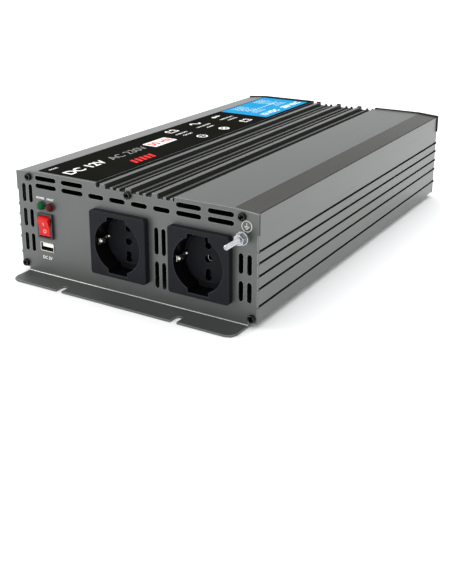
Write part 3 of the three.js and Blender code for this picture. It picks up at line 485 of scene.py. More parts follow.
def softenNodes():
    for node, (width, segments, finishName, slot, body) in softEdges.items():
        shape = nodeShape(node)
        bevelEdges(shape, sharpEdges(shape), width, segments)
        finishPiece(shape, f"{node}_soft", [finishName], body=body, stands=[node])


softenNodes()
print("softened:", len(softEdges))


# case extrusion: long edges broken; painted shade between the ribs, in the side grooves, on the long top
# corners, on the outer facet and inside

extrusion = {
    "edgeBreak": 0.22,
    "cornerBreak": 0.45,  # the long corner between facet and side, in painted shade
    "ribTop": 79.6,  # everything in the rib field under this is in shade
    "smallFin": 78.8,
    "ribField": (-28, 39.3),
    "wall": 98.2,  # inside of the side walls
    "ceiling": 77.9,
    "facet": 84.5,
}


def makeExtrusion():
    shape = nodeShape("case_extrusion")
    side = max(vert.co.x for vert in shape.verts)
    sharp = sharpEdges(shape, 60)
    corners = [e for e in sharp if all(abs(v.co.x) > side - 0.1 and v.co.z > 70 for v in e.verts)]
    corners = [e for e in corners if e.calc_length() > 100]
    cornerTop = max(v.co.z for e in corners for v in e.verts)
    bevelEdges(shape, [e for e in sharp if e not in corners], extrusion["edgeBreak"], 1)
    corners = [
        e
        for e in sharpEdges(shape, 60)
        if e.calc_length() > 100 and all(abs(v.co.x) > side - 0.1 and v.co.z > 70 for v in e.verts)
    ]
    bevelEdges(shape, corners, extrusion["cornerBreak"], 1)
    left, right = extrusion["ribField"]
    # index 1 is painted shade: rib valleys and walls, inside, grooves and the long top corners; index 2
    # is painted shade on the outer facet
    for face in shape.faces:
        x, _, z = face.calc_center_median()
        inRibs = left < x < right and z < extrusion["ribTop"]
        upright = left < x < right and abs(face.normal.x) > 0.5
        inCase = abs(x) < extrusion["wall"] and z < extrusion["ceiling"]
        inGroove = extrusion["wall"] < abs(x) < side - 0.3 and z < cornerTop - 1
        onCorner = abs(x) > side - extrusion["cornerBreak"] and z > cornerTop - 0.4
        if inRibs or upright or inCase or inGroove or onCorner:
            face.material_index = 1
        elif x > extrusion["facet"] and face.normal.z > 0.9:
            face.material_index = 2
        # the small fin tops are in the facet's painted shade, less dark than the valleys
        if inRibs and z > extrusion["smallFin"] and face.normal.z > 0.9:
            face.material_index = 2
    finishPiece(
        shape,
        "case_extrusion_soft",
        ["anodisedExtrusion", "anodisedPaintedShade", "facetPaintedShade"],
        stands=["case_extrusion"],
    )


makeExtrusion()
print("case made")

# end plates: the sheet's edges broken; painted shade on its inner face, on the walls of its holes and on
# its shoulder edges, and a painted highlight along the foot's bend

plate = {
    "edgeBreak": 0.18,
    "inner": 174.5,
    "halfWidth": 100.5,
    "holes": (6, 79),
    "shoulder": 103.2,
    "bend": (176.05, 177.2, 2.6),  # from and to along Y, and up to this height
}


def makePlate(node, way):
    shape = nodeShape(node)
    bevelEdges(shape, sharpEdges(shape), plate["edgeBreak"], 1)
    low, high = plate["holes"]
    # index 1 is painted shade; index 2 is the painted highlight along the bend
    for face in shape.faces:
        x, y, z = face.calc_center_median()
        inner = face.normal.y * way < -0.9 and abs(y) < plate["inner"] + 0.1
        inHole = abs(face.normal.y) < 0.3 and abs(x) < plate["halfWidth"] and low < z < high
        start, end, height = plate["bend"]
        onShoulder = abs(face.normal.x) > 0.9 and abs(x) > plate["shoulder"]
        if inner or inHole or onShoulder:
            face.material_index = 1
        elif start < abs(y) < end and 1.2 < z < height and face.normal.z > 0.1:
            face.material_index = 2
    finishPiece(
        shape,
        f"{node}_soft",
        ["anodisedSheet", "anodisedPaintedShade", "bendPaintedHighlight"],
        stands=[node],
    )


makePlate("front_plate", -1)
makePlate("rear_plate", 1)
print("end plates made")

# pan-head screws with a cross recess

screw = {
    "head": 2.9,
    "headHeight": 1.9,
    "rim": 0.7,
    "flat": 2.3,
    "shank": 1.45,
    "length": 11,
    "crossArm": 2.1,
    "crossWidth": 1.1,
    "crossDepth": 0.45,
}


# a closed loop of edges through the points, at one height
def addLoop(shape, points, z):
    verts = [shape.verts.new((x, y, z)) for x, y in points]
    return [shape.edges.new((a, b)) for a, b in zip(verts, verts[1:] + verts[:1])]


# turn a half section of (radius, height) points about Z; ends on the axis close it
def turned(points, steps):
    shape = bmesh.new()
    verts = [shape.verts.new((r, 0, z)) for r, z in points]
    edges = [shape.edges.new(pair) for pair in zip(verts, verts[1:])]
    bmesh.ops.spin(
        shape,
        geom=verts + edges,
        cent=(0, 0, 0),
        axis=(0, 0, 1),
        angle=math.tau,
        steps=steps,
        use_merge=True,
    )
    bmesh.ops.remove_doubles(shape, verts=shape.verts, dist=0.001)
    bmesh.ops.recalc_face_normals(shape, faces=shape.faces)
    return shape


def panHead():
    head, height = screw["head"], screw["headHeight"]
    dome = [
        (head, 0),
        (head, screw["rim"]),
        (head * 0.96, height * 0.7),
        (head * 0.89, height * 0.9),
        (screw["flat"], height),
    ]
    length, shank = screw["length"], screw["shank"]
    shape = turned([(0, -length), (shank, -length), (shank, 0)] + dome, 24)
    rim = [edge for edge in shape.edges if edge.is_boundary]
    arm, half = screw["crossArm"], screw["crossWidth"] / 2
    corner = [(arm, -half), (arm, half), (half, half)]
    cross = []
    for quarter in range(4):
        turn = Matrix.Rotation(quarter * math.pi / 2, 2)
        cross += [tuple(turn @ Vector(point)) for point in corner]
    ring = addLoop(shape, cross, height)
    bmesh.ops.bridge_loops(shape, edges=rim + ring)
    down = bmesh.ops.extrude_edge_only(shape, edges=ring)["geom"]
    low = [item for item in down if isinstance(item, bmesh.types.BMVert)]
    bmesh.ops.translate(shape, verts=low, vec=(0, 0, -screw["crossDepth"]))
    bmesh.ops.scale(shape, verts=low, vec=(0.7, 0.7, 1))
    bmesh.ops.contextual_create(shape, geom=[e for e in shape.edges if e.is_boundary])
    bmesh.ops.recalc_face_normals(shape, faces=shape.faces)
    # faces of the cross recess get the painted glint
    sunkVerts = set(low)
    for face in shape.faces:
        face.material_index = 1 if any(vert in sunkVerts for vert in face.verts) else 0
    return shape


# where the screw's head seats, and which way it looks along Y
def placeScrew(name, place, way, stands=(), turn=0.0):
    shape = panHead()
    bmesh.ops.rotate(shape, verts=shape.verts, matrix=Matrix.Rotation(turn, 3, "Z"))
    bmesh.ops.rotate(shape, verts=shape.verts, matrix=Matrix.Rotation(-way * math.pi / 2, 3, "X"))
    bmesh.ops.translate(shape, verts=shape.verts, vec=place)
    finishNames = ["blackOxideSteel", "crossPaintedGlint"]
    finishPiece(shape, name, finishNames, stands=stands)


def makePlateScrews():
    for end, way in (("front", -1), ("rear", 1)):
        for number in range(1, 6):
            node = f"{end}_plate_screw_{number}"
            low, high = [Vector(corner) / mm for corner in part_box(node)]
            middle = (low + high) / 2
            seat = way * (176 + 0.1)
            place = (middle.x, seat, middle.z)
            placeScrew(f"{node}_head", place, way, [node], turn=0.5 * number)


makePlateScrews()

fanScrews = {"fanX": 66, "fanZ": 41.2, "spacing": 25, "seat": 176.1}


def makeFanScrews():
    for side, x in (("left", -fanScrews["fanX"]), ("right", fanScrews["fanX"])):
        number = 0
        for dx in (-fanScrews["spacing"], fanScrews["spacing"]):
            for dz in (-fanScrews["spacing"], fanScrews["spacing"]):
                number += 1
                place = (x + dx, fanScrews["seat"], fanScrews["fanZ"] + dz)
                placeScrew(f"fan_{side}_screw_{number}", place, 1, turn=0.7 * number)


makeFanScrews()
print("screws made")

# solids joined and cut with each other, for shapes that are mostly holes


def asObject(shape, name):
    mesh = bpy.data.meshes.new(name)
    shape.to_mesh(mesh)
    shape.free()
    made = bpy.data.objects.new(name, mesh)
    bpy.context.scene.collection.objects.link(made)
    return made


def combine(base, tools):
    work = asObject(base, "work")
    used = [work]
    for operation, tool in tools:
        other = asObject(tool, "tool")
        used.append(other)
        step = work.modifiers.new("step", "BOOLEAN")
        step.operation = operation
        step.solver = "EXACT"
        step.object = other
    seen = work.evaluated_get(bpy.context.evaluated_depsgraph_get())
    result = bmesh.new()
    result.from_mesh(seen.to_mesh())
    seen.to_mesh_clear()
    for item in used:
        mesh = item.data
        bpy.data.objects.remove(item)
        bpy.data.meshes.remove(mesh)
    bmesh.ops.remove_doubles(result, verts=result.verts, dist=0.001)
    bmesh.ops.dissolve_limit(
        result, angle_limit=math.radians(0.5), verts=result.verts, edges=result.edges
    )
    return result


def addInto(shape, other, matrix, finishIndex=0):
    bmesh.ops.transform(other, matrix=matrix, verts=other.verts)
    for face in other.faces:
        face.material_index = finishIndex
    mesh = bpy.data.meshes.new("part")
    other.to_mesh(mesh)
    other.free()
    shape.from_mesh(mesh)
    bpy.data.meshes.remove(mesh)


def block(low, high):
    shape = bmesh.new()
    bmesh.ops.create_cube(shape, size=1)
    size = Vector(high) - Vector(low)
    bmesh.ops.scale(shape, verts=shape.verts, vec=size)
    bmesh.ops.translate(shape, verts=shape.verts, vec=(Vector(low) + Vector(high)) / 2)
    return shape


# a round bar along Y
def bar(x, z, radius, start, end, steps=48):
    shape = bmesh.new()
    bmesh.ops.create_cone(
        shape, cap_ends=True, segments=steps, radius1=radius, radius2=radius, depth=end - start
    )
    bmesh.ops.rotate(shape, verts=shape.verts, matrix=Matrix.Rotation(math.pi / 2, 3, "X"))
    bmesh.ops.translate(shape, verts=shape.verts, vec=(x, (start + end) / 2, z))
    return shape


# mains outlets, built about the middle of the recess with the plate's face at Y 0

outlet = {
    "face": (48.2, 47.8),
    "proud": 5.2,
    "corner": 2.2,
    "edge": 0.7,
    "body": (43.6, 45),
    "bodyDepth": 21.8,
    "recess": 19.7,
    "depth": 15,
    "floorStep": 1.1,  # raised disc in the recess floor
    "floorStepRadius": 16.6,
    "floor": 2.5,
    "guide": 16.4,
    "guideReach": 20.9,
    "rimBreak": 0.35,
    "earthHole": 2.9,
    "pinNear": (9.5, 2.5),
    "pinFar": (13, 2.8),
    "armSlot": (19.05, 2.2, 5.5),
    "wall": 1.6,
    # contact domes pressed in one arm of the earth spring: place from the middle, and radius
    "domes": [(-17.4, -0.2, 0, 1.6), (-16.8, 7.6, 1.6, 1.5)],
}


def outletShape():
    o = outlet
    width, height = o["face"]
    face = block((-width / 2, -o["proud"], -height / 2), (width / 2, -0.1, height / 2))
    uprights = [e for e in face.edges if abs(e.verts[0].co.y - e.verts[1].co.y) > 1]
    bevelEdges(face, uprights, o["corner"], 6)
    front = [e for e in face.edges if all(v.co.y < 0.5 - o["proud"] for v in e.verts)]
    bevelEdges(face, front, o["edge"], 3)
    bodyWidth, bodyHeight = o["body"]
    body = block((-bodyWidth / 2, -1, -bodyHeight / 2), (bodyWidth / 2, o["bodyDepth"], bodyHeight / 2))
    inner = o["depth"] - o["proud"]
    guideHalf = o["guide"] / 2
    slotX, slotWide, slotHigh = o["armSlot"]
    step = o["floorStep"]
    tools = [
        ("UNION", body),
        ("DIFFERENCE", bar(0, 0, o["recess"], -9, inner, 96)),
        ("DIFFERENCE", block((-guideHalf, -9, -o["guideReach"]), (guideHalf, inner, o["guideReach"]))),
        ("UNION", bar(0, 0, o["floorStepRadius"], inner - step, inner + 1, 96)),
        ("DIFFERENCE", bar(0, 0, o["earthHole"], inner - 3, inner + 9)),
    ]
    for way in (-1, 1):
        for spread, radius in (o["pinNear"], o["pinFar"]):
            tools.append(("DIFFERENCE", bar(0, way * spread, radius, inner - 3, inner + 9)))
        side = sorted((way * (slotX - slotWide / 2), way * (slotX + slotWide / 2)))
        low = (side[0], inner - 3, -slotHigh / 2)
        tools.append(("DIFFERENCE", block(low, (side[1], inner + 9, slotHigh / 2))))
    wall = o["wall"]
    low = (wall - bodyWidth / 2, inner + o["floor"], wall - bodyHeight / 2)
    high = (bodyWidth / 2 - wall, o["bodyDepth"] + 1, bodyHeight / 2 - wall)
    tools.append(("DIFFERENCE", block(low, high)))
    shape = combine(face, tools)
    rim = []
    for edge in sharpEdges(shape, 60):
        ends = [v.co for v in edge.verts]
        onFront = all(abs(p.y + o["proud"]) < 0.01 for p in ends)
        if onFront and all(math.hypot(p.x, p.z) < 22.6 for p in ends):
            rim.append(edge)
    bevelEdges(shape, rim, o["rimBreak"], 2)
    # faces inside the recess, apart from the floor, get the polished finish and its painted shade
    for face in shape.faces:
        x, y, z = face.calc_center_median()
        inside = math.hypot(x, z) < 22.5 and y > 0.45 - o["proud"]
        onFloor = face.normal.y < -0.9 and abs(y - inner) < step + 0.2
        face.material_index = 1 if inside and not onFloor else 0
    return shape


# blind shutters just behind the pin holes, in the darker recess finish: dark sheets that stand for the
# shade in the holes and hide the contacts
def addShutters(shape):
    back = outlet["depth"] - outlet["proud"] + outlet["floor"]
    for way in (-1, 1):
        sheet = block((-4, back + 0.03, way * 11.4 - 6), (4, back + 0.23, way * 11.4 + 6))
        for face in sheet.faces:
            face.material_index = 1
        mesh = bpy.data.meshes.new("shutter")
        sheet.to_mesh(mesh)
        sheet.free()
        shape.from_mesh(mesh)
        bpy.data.meshes.remove(mesh)


outletPlaces = {"left": (-7, -176, 38.2), "right": (60, -176, 38.2)}


def makeOutlets():
    for side, place in outletPlaces.items():
        shape = outletShape()
        addShutters(shape)
        bmesh.ops.translate(shape, verts=shape.verts, vec=place)
        finishPiece(
            shape,
            f"socket_{side}_moulding",
            ["sparkedPlastic", "polishedPlasticPaintedShade"],
            stands=[f"socket_{side}"],
        )
        clip = nodeShape(f"socket_{side}_earth_clip")
        arms = sharpEdges(clip, 10)
        bevelEdges(clip, arms, 0.15, 2)
        for x, depth, z, radius in outlet["domes"]:
            dome = bmesh.new()
            bmesh.ops.create_uvsphere(dome, u_segments=20, v_segments=12, radius=radius)
            addInto(clip, dome, Matrix.Translation(Vector((x, depth, z)) + Vector(place)))
        finishPiece(
            clip,
            f"socket_{side}_earth_spring",
            ["nickelPlate"],
            stands=[f"socket_{side}_earth_clip"],
        )


makeOutlets()
print("outlets made")

# rocker: rounded edges; "I" on the raised half and "O" on the pressed half

rocker = {
    "round": 0.5,
    "pivot": (-76.6, -174.6, 40.2),
    # middle of each mark from the pivot, height, and how far its half leans forward
    "marks": {"I": ((0.2, -4.95, 2.1), 2.5, 20), "O": ((0.4, -3.86, -3.7), 2.8, 0)},
    "markWeight": {"I": 0.04, "O": -0.07},
}


def textShape(words, height, weight=0.0, slant=0.0):
    line = bpy.data.curves.new("line", "FONT")
    line.body = words
    line.align_x = "CENTER"
    line.align_y = "CENTER"
    line.size = height / 0.7
    line.offset = weight
    line.shear = slant
    line.extrude = 0.012
    line.resolution_u = 6
    holder = bpy.data.objects.new("line", line)
    bpy.context.scene.collection.objects.link(holder)
    seen = holder.evaluated_get(bpy.context.evaluated_depsgraph_get())
    shape = bmesh.new()
    shape.from_mesh(seen.to_mesh())
    seen.to_mesh_clear()
    bpy.data.objects.remove(holder)
    bpy.data.curves.remove(line)
    bmesh.ops.remove_doubles(shape, verts=shape.verts, dist=0.0005)
    return shape


# flat lettering stood up to be read from the front
def facingFront(place, lean=0.0):
    tilt = Matrix.Rotation(math.radians(90 + lean), 4, "X")
    return Matrix.Translation(place) @ tilt


def makeRocker():
    shape = nodeShape("power_rocker")
    bevelEdges(shape, sharpEdges(shape, 25), rocker["round"], 4)
    finishPiece(
        shape,
        "power_rocker_paddle",
        ["redPolycarbonate"],
        body="rocker",
        stands=["power_rocker"],
        sharp=50,
    )
    marks = bmesh.new()
    pivot = Vector(rocker["pivot"])
    for letter, (offset, height, lean) in rocker["marks"].items():
        mark = textShape(letter, height, rocker["markWeight"][letter])
        addInto(marks, mark, facingFront(pivot + Vector(offset), lean))
    finishPiece(marks, "power_rocker_marks", ["whiteInk"], body="rocker")


makeRocker()
print("rocker made")

# lamps: domed epoxy in black collars

lamp = {
    "finishes": {"lamp_power": "greenEpoxy", "lamp_fault": "redEpoxy"},
    "lens": 3.0,
    "reach": 4.7,
    "collar": 3.55,
    "collarReach": 1.1,
    "gap": 0.05,
}


def makeLamps():
    for node, finishName in lamp["finishes"].items():
        low, high = [Vector(corner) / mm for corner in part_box(node)]
        middle = (low + high) / 2
        lens, reach = lamp["lens"], lamp["reach"]
        rise = reach - lens
        angles = [step * math.pi / 20 for step in range(11)]
        arc = [(lens * math.cos(a), rise + lens * math.sin(a)) for a in angles]
        dome = turned([(0, -1), (lens, -1)] + arc[:-1] + [(0, reach)], 32)
        wide, out = lamp["collar"], lamp["collarReach"]
        gap = lamp["gap"]
        inner = lens + gap
        collar = [
            (inner, gap),
            (wide, gap),
            (wide, out - 0.3),
            (wide - 0.25, out),
            (inner, out),
            (inner, gap),
        ]
        ring = turned(collar, 32)
        front = Matrix.Translation((middle.x, -176, middle.z)) @ Matrix.Rotation(math.pi / 2, 4, "X")
        shape = bmesh.new()
        addInto(shape, dome, front, 0)
        addInto(shape, ring, front, 1)
        finishPiece(shape, f"{node}_lens", [finishName, "glossBlackPlastic"], stands=[node])


makeLamps()
print("lamps made")

# USB outlet: plated shell with painted shade in its throat

usb = {"throat": 0.45, "edge": 0.12}


def makeUsb():
    shape = nodeShape("usb_shell")
    bevelEdges(shape, sharpEdges(shape, 60), usb["edge"], 1)
    low, high = [Vector(corner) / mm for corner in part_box("usb_shell")]
    inset = usb["throat"] + usb["edge"]
    for face in shape.faces:
        x, y, z = face.calc_center_median()
        inWidth = low.x + inset - 0.2 < x < high.x - inset + 0.2
        inHeight = low.z + inset - 0.2 < z < high.z - inset + 0.2
        inThroat = inWidth and inHeight
        # the throat inside the shell gets painted shade
        if inThroat and y > low.y + 0.8:
            face.material_index = 1
    finishNames = ["nickelPlate", "anodisedPaintedShade"]
    finishPiece(shape, "usb_shell_soft", finishNames, stands=["usb_shell"])


makeUsb()
print("usb made")

# earth stud: rolled thread, two chamfered nuts and a washer between them

stud = {
    "place": (93.5, -176, 63),
    "thread": 1.7,
    "root": 1.4,
    "pitch": 0.7,
    "reach": 24.3,
    "tail": 9,
    "nutFlat": 3.5,
    "nutHeight": 3.6,
    "nutBore": 1.8,
    "nutChamfer": 0.45,
    "nutStarts": {"earth_nut_inner": 0.1, "earth_nut_outer": 5.4},
    "washer": (4.7, 3.8, 1.5),  # radius, start and thickness
}


def studShape():
    profile = [(0, -stud["tail"]), (stud["root"], -stud["tail"])]
    z = -stud["tail"] + 0.3
    while z < stud["reach"] - stud["pitch"]:
        profile += [(stud["root"], z), (stud["thread"], z + 0.28), (stud["thread"], z + 0.38)]
        z += stud["pitch"]
    profile += [
        (stud["root"], stud["reach"] - 0.35),
        (stud["root"] - 0.4, stud["reach"]),
        (0, stud["reach"]),
    ]
    return turned(profile, 24)


def nutShape():
    height = stud["nutHeight"]
    across = stud["nutFlat"] / math.cos(math.pi / 6)
    cut = stud["nutChamfer"]
    hexagon = bmesh.new()
    bmesh.ops.create_cone(
        hexagon, cap_ends=True, segments=6, radius1=across, radius2=across, depth=height
    )
    bmesh.ops.translate(hexagon, verts=hexagon.verts, vec=(0, 0, height / 2))
    flat = stud["nutFlat"] - 0.1
    cone = [(0, 0), (flat, 0), (across, cut), (across, height - cut), (flat, height), (0, height)]
    bore = bmesh.new()
    radius = stud["nutBore"]
    bmesh.ops.create_cone(
        bore, cap_ends=True, segments=24, radius1=radius, radius2=radius, depth=3 * height
    )
    return combine(hexagon, [("INTERSECT", turned(cone, 48)), ("DIFFERENCE", bore)])


def makeStud():
    front = Matrix.Translation(stud["place"]) @ Matrix.Rotation(math.pi / 2, 4, "X")
    shape = studShape()
    bmesh.ops.transform(shape, matrix=front, verts=shape.verts)
    finishPiece(shape, "earth_stud_thread", ["brightZinc"], stands=["earth_stud"])
    for node, start in stud["nutStarts"].items():
        shape = nutShape()
        place = front @ Matrix.Translation((0, 0, start)) @ Matrix.Rotation(0.3 + 0.5 * start, 4, "Z")
        bmesh.ops.transform(shape, matrix=place, verts=shape.verts)
        finishPiece(shape, f"{node}_hexagon", ["brightZinc"], stands=[node])
    radius, start, thick = stud["washer"]
    bore = stud["nutBore"]
    end = start + thick
    ring = [
        (bore, start),
        (radius - 0.2, start),
        (radius, start + 0.2),
        (radius, end - 0.3),
        (radius - 0.3, end),
        (bore, end),
        (bore, start),
    ]
    shape = turned(ring, 40)
    bmesh.ops.transform(shape, matrix=front, verts=shape.verts)
    finishPiece(shape, "earth_washer_ring", ["brightZinc"], stands=["earth_washer"])


makeStud()
print("earth stud made")

# printing on the front plate

frontPrint = {
    "face": -176,
    "words": [
        ("POWER", (-81.0, 61.1), 1.55),
        ("FAULT", (-71.4, 61.1), 1.55),
        ("DC 5V", (-77.2, 14.7), 2.3),
    ],
    "earthSign": (94.5, 70),
    "signRadius": 3.8,
    "signLine": 0.32,
}


def ringShape(radius, line):
    return turned(
        [(radius, 0), (radius - line, 0), (radius - line, 0.024), (radius, 0.024), (radius, 0)], 40
    )


def makeFrontPrint():
    print3d = bmesh.new()
    for words, (x, z), height in frontPrint["words"]:
        addInto(print3d, textShape(words, height, 0.04), facingFront((x, frontPrint["face"] - 0.02, z)))
    x, z = frontPrint["earthSign"]
    sign = facingFront((x, frontPrint["face"] - 0.03, z))
    line = frontPrint["signLine"]
    addInto(print3d, ringShape(frontPrint["signRadius"], line), sign)
    strokes = [
        ((0, 1.1), line, 2.6),
        ((0, -0.2), 3.9, line),
        ((0, -1.1), 2.6, line),
        ((0, -2), 1.2, line),
    ]
    for (u, v), wide, high in strokes:
        stroke = block((u - wide / 2, v - high / 2, 0), (u + wide / 2, v + high / 2, 0.024))
        addInto(print3d, stroke, sign)
    finishPiece(print3d, "front_plate_print", ["whiteInk"])


makeFrontPrint()
print("front printing made")

# top label: film with rounded corners, and its printing laid out along the case

label = {
    "round": 1.2,
    "edge": 0.08,
    "ink": 0.02,
    # words, finish, distance along from the front face, distance in from the outer edge, height
    "words": [
        ("MODE", "whiteInk", (8.5, 7.6), 2.2, 0.02),
        ("DC 12V", "whiteInk", (24, 25.5), 9, 0.3),
        ("AC 230V", "greyInk", (75.5, 25.5), 8.6, -0.05),
        ("50 Hz", "redInk", (119, 25.5), 8, 0.4),
    ],
    "panel": (80.7, 168, -82.3, -31.6),
    "whiteBox": (119, 25.5, 31, 14.5),
    "bars": {
        "count": 5,
        "first": 57,
        "spacing": 5.6,
        "inward": 45.5,
        "width": 3.6,
        "height": 9,
        "slant": 0.35,
    },
}

# finer printing on the label: two lines under each sign, and the rows of the blue panel
smallPrint = {
    "rows": [
        (156, ("OVERLOAD", "CUT-OFF")),
        (192, ("LOW BATTERY", "ALARM")),
        (231, ("TEMPERATURE", "CONTROL")),
    ],
    "lines": (22.2, 29),
    "height": 2.3,
}
panelPrint = {
    "columns": (276, 319),
    "rows": [
        "OUTPUT 230 V AC", "WAVE MODIFIED", "FREQUENCY 50 Hz", "INPUT 12 V DC", "STAND-BY < 1 A",
        "EFFICIENCY 90 %", "USB 5 V DC", "FAN AUTOMATIC", "RESET AUTOMATIC",
    ],
    "first": 7,
    "spacing": 3.35,
    "height": 1.6,
    "figures": ("12 VDC", "230 VAC"),
    "figureHeight": 6.6,
}


def labelSpot(along, inward, lift=0.0):
    low, high = [Vector(corner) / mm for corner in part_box("top_label")]
    place = (low.x - 0.8 + inward, -173 + along, high.z + label["ink"] + lift)
    return Matrix.Translation(place) @ Matrix.Rotation(math.pi / 2, 4, "Z")


def roundedPatch(width, height, radius, thick=0.02):
    shape = block((-width / 2, -height / 2, 0), (width / 2, height / 2, thick))
    uprights = [e for e in shape.edges if abs(e.verts[0].co.z - e.verts[1].co.z) > thick / 2]
    bevelEdges(shape, uprights, radius, 4)
    return shape


# a battery: case outline, two poles and its plus and minus
def batterySign():
    shape = combine(roundedPatch(13, 7.5, 1), [("DIFFERENCE", block((-5.4, -2.6, -1), (5.4, 2.6, 1)))])
    for x in (-3.6, 3.6):
        addInto(shape, block((x - 1.1, 3.6, 0), (x + 1.1, 5, 0.02)), Matrix())
        addInto(shape, block((x - 1.2, -0.4, 0), (x + 1.2, 0.4, 0.02)), Matrix())
    addInto(shape, block((3.2, -1.2, 0), (4, 1.2, 0.02)), Matrix())
    return shape


# one round of a wave
def waveSign():
    line = bpy.data.curves.new("wave", "CURVE")
    line.dimensions = "3D"
    run = line.splines.new("POLY")
    run.points.add(24)
    for i, place in enumerate(run.points):
        turn = i / 24 * math.tau
        place.co = (6 * (i / 12 - 1), 3 * math.sin(turn), 0.01, 1)
    line.bevel_depth = 0.9
    holder = bpy.data.objects.new("wave", line)
    bpy.context.scene.collection.objects.link(holder)
    seen = holder.evaluated_get(bpy.context.evaluated_depsgraph_get())
    shape = bmesh.new()
    shape.from_mesh(seen.to_mesh())
    seen.to_mesh_clear()
    bpy.data.objects.remove(holder)
    bpy.data.curves.remove(line)
    bmesh.ops.scale(shape, verts=shape.verts, vec=(1, 1, 0.02))
    return shape


# a thermometer: bulb and stem
def heatSign():
    shape = roundedPatch(10, 1.7, 0.8)
    bulb = bmesh.new()
    bmesh.ops.create_cone(bulb, cap_ends=True, segments=24, radius1=2.3, radius2=2.3, depth=0.02)
    addInto(shape, bulb, Matrix.Translation((-5.6, 0, 0.01)))
    for x in (-1, 1, 3):
        addInto(shape, block((x - 0.3, 1.4, 0), (x + 0.3, 3.2, 0.02)), Matrix())
    return shape


# a fan: hub ring and four blades
def fanSign():
    shape = ringShape(5, 1.3)
    for quarter in range(4):
        blade = roundedPatch(3.6, 1.5, 0.7)
        turn = Matrix.Rotation(quarter * math.pi / 2 + 0.4, 4, "Z")
        addInto(shape, blade, turn @ Matrix.Translation((2, 0.4, 0)))
    return shape


# an outlet seen from the front: ring and two pins
def outletSign():
    shape = ringShape(5, 1.3)
    for x in (-1.8, 1.8):
        pin = bmesh.new()
        bmesh.ops.create_cone(pin, cap_ends=True, segments=16, radius1=0.8, radius2=0.8, depth=0.02)
        addInto(shape, pin, Matrix.Translation((x, 0, 0.01)))
    return shape


signs = [
    (157, 11.5, batterySign), (194, 11.5, waveSign), (232, 11.5, heatSign),
    (156, 43.5, outletSign), (192, 43.5, fanSign), (231, 43.5, batterySign),
]


def makeLabel():
    low, high = [Vector(corner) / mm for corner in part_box("top_label")]
    shape = block(low, high)
    uprights = [e for e in shape.edges if abs(e.verts[0].co.z - e.verts[1].co.z) > 0.1]
    bevelEdges(shape, uprights, label["round"], 4)
    rim = [e for e in shape.edges if all(v.co.z > high.z - 0.01 for v in e.verts)]
    bevelEdges(shape, rim, label["edge"], 2)
    finishPiece(shape, "top_label_film", ["labelFilm"], stands=["top_label"])


def makeLabelPrint():
    white, red, blue = bmesh.new(), bmesh.new(), bmesh.new()
    grey = bmesh.new()
    inks = {"whiteInk": white, "greyInk": grey, "redInk": red}
    for words, ink, place, height, weight in label["words"]:
        lift = 0.04 if ink == "redInk" else 0
        addInto(inks[ink], textShape(words, height, weight), labelSpot(*place, lift))
    addInto(white, roundedPatch(*label["whiteBox"][2:], 1.5), labelSpot(*label["whiteBox"][:2]))
    for i in range(label["bars"]["count"]):
        bars = label["bars"]
        bar3d = roundedPatch(bars["width"], bars["height"], 0.6)
        for vert in bar3d.verts:
            vert.co.x += vert.co.y * bars["slant"]
        addInto(red, bar3d, labelSpot(bars["first"] + i * bars["spacing"], bars["inward"]))
    for along, inward, sign in signs:
        addInto(white, sign(), labelSpot(along, inward))
    for along, lines in smallPrint["rows"]:
        for words, inward in zip(lines, smallPrint["lines"]):
            addInto(white, textShape(words, smallPrint["height"], 0.05), labelSpot(along, inward))
    start, end, outer, inner = label["panel"]
    middle = labelSpot(0, 0)
    height = middle.translation.z
    place = Matrix.Translation(((outer + inner) / 2, (start + end) / 2, height))
    alongCase = place @ Matrix.Rotation(math.pi / 2, 4, "Z")
    addInto(blue, roundedPatch(end - start, inner - outer, 1.5), alongCase)
    p = panelPrint
    for along, figure in zip(p["columns"], p["figures"]):
        for i, words in enumerate(p["rows"]):
            spot = labelSpot(along, p["first"] + i * p["spacing"], 0.04)
            addInto(white, textShape(words, p["height"], 0), spot)
        addInto(white, textShape(figure, p["figureHeight"], 0.35, 0.2), labelSpot(along, 44.5, 0.04))
    divider = block((-22, -0.3, 0), (22, 0.3, 0.02))
    addInto(white, divider, labelSpot(297.5, 26, 0.04))
    for ink, shape in (("white", white), ("grey", grey), ("red", red), ("blue", blue)):
        finishPiece(shape, f"top_label_{ink}_ink", [f"{ink}Ink"])


makeLabel()
makeLabelPrint()
print("label made")

# cable clamps: turned posts with a cross screw, on the rear

clamp = {
    "post": 7.5,
    "edge": 0.7,
    "neck": 5,
    "start": 179.2,
    "bore": 4.7,
    "boreDepth": 17,
    "screw": 2.8,
    "screwBack": 8,
    "screwReach": 9.5,
    "key": 1.5,
}


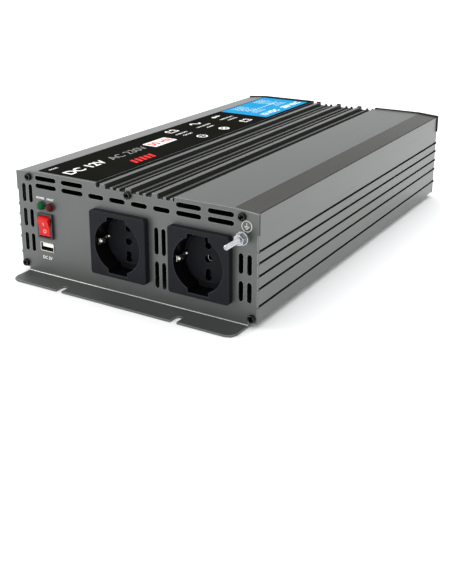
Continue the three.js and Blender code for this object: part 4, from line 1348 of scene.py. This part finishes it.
def makeClamps():
    c = clamp
    for sign, way in (("positive", -1), ("negative", 1)):
        for height in ("lower", "upper"):
            node = f"clamp_{sign}_{height}"
            low, high = [Vector(corner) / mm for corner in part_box(node)]
            x, z = 15 * way, (low.z + high.z) / 2
            end = high.y
            post = bar(x, z, c["post"], c["start"], end, 64)
            bevelEdges(post, sharpEdges(post, 60), c["edge"], 3)
            cross = bar(0, 0, c["screw"] + 0.1, -6, 6, 32)
            bmesh.ops.rotate(cross, verts=cross.verts, matrix=Matrix.Rotation(math.pi / 2, 3, "Z"))
            bmesh.ops.translate(cross, verts=cross.verts, vec=(x + way * 6, end - c["screwBack"], z))
            shape = combine(
                post,
                [
                    ("UNION", bar(x, z, c["neck"], low.y, c["start"] + 1, 48)),
                    ("DIFFERENCE", bar(x, z, c["bore"], end - c["boreDepth"], end + 1, 48)),
                    ("DIFFERENCE", cross),
                ],
            )
            mouth = []
            for edge in sharpEdges(shape, 60):
                if all(v.co.y > end - 0.01 for v in edge.verts):
                    mouth.append(edge)
            bevelEdges(shape, mouth, 0.4, 2)
            finishPiece(shape, f"{node}_post", ["turnedBrass"], stands=[node])
            makeClampScrew(f"clamp_screw_{sign}_{height}", way, x, end - c["screwBack"], z)


def makeClampScrew(node, way, x, y, z):
    c = clamp
    start, end = c["bore"] + 0.3, c["screwReach"]
    screwBody = turned(
        [(0, start), (c["screw"], start), (c["screw"], end - 0.3), (c["screw"] - 0.3, end), (0, end)], 32
    )
    key = bmesh.new()
    bmesh.ops.create_cone(key, cap_ends=True, segments=6, radius1=c["key"], radius2=c["key"], depth=4)
    bmesh.ops.translate(key, verts=key.verts, vec=(0, 0, end))
    shape = combine(screwBody, [("DIFFERENCE", key)])
    turn = Matrix.Rotation(way * math.pi / 2, 4, "Y")
    bmesh.ops.transform(shape, matrix=Matrix.Translation((x, y, z)) @ turn, verts=shape.verts)
    finishPiece(shape, f"{node}_socket_head", ["blackOxideSteel"], stands=[node])


makeClamps()
print("clamps made")

# finishes of the frame nodes that stay as they are, all of them inside the case

innerFinishes = {
    "floor_plate": "greyPaintedSteel",
    "main_board": "solderMask",
    "board_spacer_left": "blackNylon",
    "board_spacer_right": "blackNylon",
    "heat_spreader_left": "milledAluminium",
    "heat_spreader_right": "milledAluminium",
    "transformer_1": "sinteredFerrite",
    "transformer_2": "sinteredFerrite",
    "capacitor_1": "shrinkSleeve",
    "capacitor_2": "shrinkSleeve",
    "output_choke": "enamelledCopper",
}
for side in ("left", "right"):
    innerFinishes[f"socket_{side}_line_contact"] = "turnedBrass"
    innerFinishes[f"socket_{side}_neutral_contact"] = "turnedBrass"
    innerFinishes[f"socket_{side}_rear_cover"] = "blackNylon"
for node, finishName in innerFinishes.items():
    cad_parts[node].material_slots[0].material = materials[finishName]
print("inner finishes set:", len(innerFinishes))
